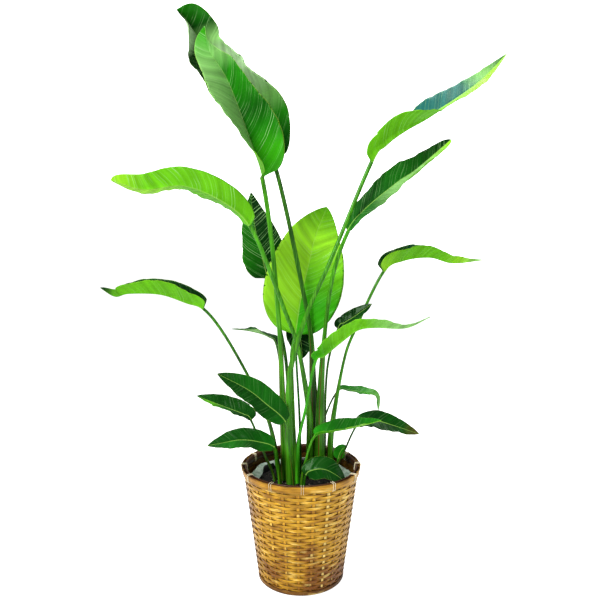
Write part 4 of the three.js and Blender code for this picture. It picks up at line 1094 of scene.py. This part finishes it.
def pot_mesh():
    """Thin-walled pot with a rolled lip. Its drain holes are out of sight and left out."""
    section = [(0.01, 6.4), (86, 6.4), (90.5, 6.9), (92.3, 9), (104.5, 127), (116.8, 246),
               (117.4, 247.6), (120.2, 248.2), (121, 249.4), (121, 256.4), (120.2, 257.7),
               (118.6, 258), (116.4, 257.7), (115.2, 256.6), (114.8, 246), (102.4, 127),
               (90.4, 10.2), (88, 8.6), (0.01, 8.4)]
    mesh = turned_mesh("nursery_pot_moulded", section, 96)
    outward_faces(mesh, join_mm=0.03)
    return mesh


def soil_height(x, y):
    """Height of the compost at a place (mm): a low mound with lumps and hollows."""
    far = math.hypot(x, y) / SOIL_RADIUS
    mound = SOIL_TOP + 2 - 5 * far ** 4
    lumps = 2.2 * noise.noise(Vector((x / 16, y / 16, 3.1)))
    crumbs = 1.1 * noise.noise(Vector((x / 5, y / 5, 7.7)))
    return mound + lumps + crumbs


def soil_mesh():
    columns, rings = 150, 46
    points = [(0, 0, soil_height(0, 0))]
    reach = SOIL_RADIUS - 1.2
    for i in range(1, rings + 1):
        for k in range(columns):
            a = 2 * math.pi * k / columns
            r = reach * i / rings
            x, y = r * math.sin(a), -r * math.cos(a)
            points.append((x, y, soil_height(x, y)))
    for r, z in ((reach - 0.6, 235), (100, 110), (88.5, 9.2)):
        points += [(r * math.sin(2 * math.pi * k / columns),
                    -r * math.cos(2 * math.pi * k / columns), z) for k in range(columns)]
    points.append((0, 0, 9.2))
    faces = [(0, 1 + k, 1 + (k + 1) % columns) for k in range(columns)]
    for i in range(rings + 2):
        low, high = 1 + i * columns, 1 + (i + 1) * columns
        faces += [(low + k, high + k, high + (k + 1) % columns, low + (k + 1) % columns)
                  for k in range(columns)]
    last, centre = 1 + (rings + 2) * columns, len(points) - 1
    faces += [(centre, last + (k + 1) % columns, last + k) for k in range(columns)]
    mesh = mesh_from("potting_soil_lumpy", points, faces)
    outward_faces(mesh)
    return mesh


CHIP_POINTS = 12              # an icosahedron's corners


def bark_chips():
    """Bits of bark and coir strewn on the compost."""
    tree, size = tree_with("bark_chips", {
        "Per square metre": (LENGTH, 26000.0), "Seed": (WHOLE, 11)})
    disc = add(tree, "GeometryNodeMeshCircle", {"Vertices": 64, "Radius": 109 * MM},
               fill_type="NGON")
    spread = add(tree, "GeometryNodeDistributePointsOnFaces", {
        "Mesh": disc, "Density": size["Per square metre"], "Seed": size["Seed"]})
    chip = add(tree, "GeometryNodeMeshIcoSphere", {"Radius": 1.0, "Subdivisions": 1})
    smallest, largest = np.array([[1.0, 0.7, 0.4], [3.6, 1.8, 0.9]]) * MM
    half_size = add(tree, "FunctionNodeRandomValue", {0: smallest, 1: largest, "Seed": 3},
                    data_type="FLOAT_VECTOR")
    turn = add(tree, "FunctionNodeRandomValue", {
        0: (-0.4, -0.4, 0.0), 1: (0.4, 0.4, 6.28), "Seed": 4}, data_type="FLOAT_VECTOR")
    strewn = add(tree, "GeometryNodeInstanceOnPoints", {
        "Points": spread, "Instance": chip, "Rotation": turn, "Scale": half_size})
    marked = stored(tree, strewn, "strip", chance(tree, 6), "INSTANCE")
    finish_tree(tree, marked, chip_finish)
    mesh = grown("bark_chips", tree)

    def settle(points):
        """Each chip drops on to the ground under its middle."""
        groups = points.reshape(-1, CHIP_POINTS, 3)
        for group in groups:
            x, y, _ = group.mean(axis=0)
            group[:, 2] += soil_height(x, y) + 0.3
        return groups.reshape(-1, 3)
    reshape(mesh, settle)
    return mesh


def chip_surface():
    """Composted bark: brown to nearly black, matt, with a few pale fibres and grains."""
    material, tree = surface_tree("composted_bark_chips")
    tone = read(tree, "strip")
    place = add(tree, "ShaderNodeTexCoord", out=3)
    grain = mottle(tree, place, 700.0, 3.0)
    warm = blend(tree, tone, 0x0A0705, 0x2E2014)
    pale = remap(tree, tone, 0.955, 0.96, 0.0, 0.7)
    mixed = blend(tree, pale, warm, 0x8E8878)
    shade = remap(tree, grain, 0.3, 0.7, 0.7, 1.25)
    coat_tree(tree, Base_Color=scaled(tree, mixed, shade), Roughness=0.9,
              Normal=bumped(tree, grain, 0.6, 0.4))
    return material


chip_finish = chip_surface()
dressed("film_bag_crumpled", film_bag(), "film_bag", [film_finish])
dressed("nursery_pot_moulded", pot_mesh(), "nursery_pot", [pot_finish])
dressed("potting_soil_lumpy", soil_mesh(), "potting_soil", [soil_finish])
dressed("bark_chips", bark_chips(), "potting_soil", [])


# ---------------------------------------------------------------- floor, light and camera
def paper_floor():
    material = plain_surface("studio_floor", (0xF6F6F5, 0xF9F9F8), 3, (0.85, 0.95), 0.1)
    # the paper is seen white, and throws little light back up
    tree = material.node_tree
    surface = next(node for node in tree.nodes if node.type == "BSDF_PRINCIPLED")
    surface.inputs["Emission Color"].default_value = (1, 1, 1, 1)
    seen = add(tree, "ShaderNodeLightPath")
    glow = remap(tree, seen, 0.0, 1.0, 0.12, 0.85)
    tree.links.new(glow, surface.inputs["Emission Strength"])
    mesh = bpy.data.meshes.new("studio_floor")
    reach = 14.0
    mesh.from_pydata([(-reach, -reach, 0), (reach, -reach, 0), (reach, reach, 0),
                      (-reach, reach, 0)], [], [(0, 1, 2, 3)])
    mesh.materials.append(material)
    floor = bpy.data.objects.new("studio_floor", mesh)
    bpy.context.scene.collection.objects.link(floor)


def soft_light(name, place, aim, size, power):
    lamp = bpy.data.lights.new(name, "AREA")
    lamp.shape = "SQUARE"
    lamp.size = size
    lamp.energy = power
    holder = bpy.data.objects.new(name, lamp)
    holder.location = place
    holder.rotation_euler = (Vector(aim) - Vector(place)).to_track_quat("-Z", "Y").to_euler()
    bpy.context.scene.collection.objects.link(holder)


paper_floor()
soft_light("window_left", (-1.9, -2.2, 2.7), (0, 0, 0.6), 1.3, 120)
soft_light("window_right", (2.5, -1.6, 1.7), (0, 0, 0.6), 1.2, 14)
soft_light("ceiling", (0.3, 0.5, 3.2), (0, 0, 0.6), 1.8, 75)
world = bpy.data.worlds.new("studio")
world.use_nodes = True
# the backdrop is seen white, and lights the plant only dimly
backdrop = world.node_tree
backdrop.nodes.clear()
seen = add(backdrop, "ShaderNodeLightPath")
strength = remap(backdrop, seen, 0.0, 1.0, 0.32, 2.4)
sky = add(backdrop, "ShaderNodeBackground", {"Color": (1, 1, 1, 1), "Strength": strength})
add(backdrop, "ShaderNodeOutputWorld", {"Surface": sky}, out=None)
bpy.context.scene.world = world
bpy.context.scene.view_settings.view_transform = "Standard"

lens = bpy.data.cameras.new("front")
lens.sensor_width = 36
lens.lens = 36.756
camera = bpy.data.objects.new("front", lens)
camera.location = (-2.5 * MM, -1500 * MM, 864 * MM)
camera.rotation_euler = (math.radians(84), 0, 0)
bpy.context.scene.collection.objects.link(camera)
bpy.context.scene.camera = camera

bpy.context.view_layer.update()
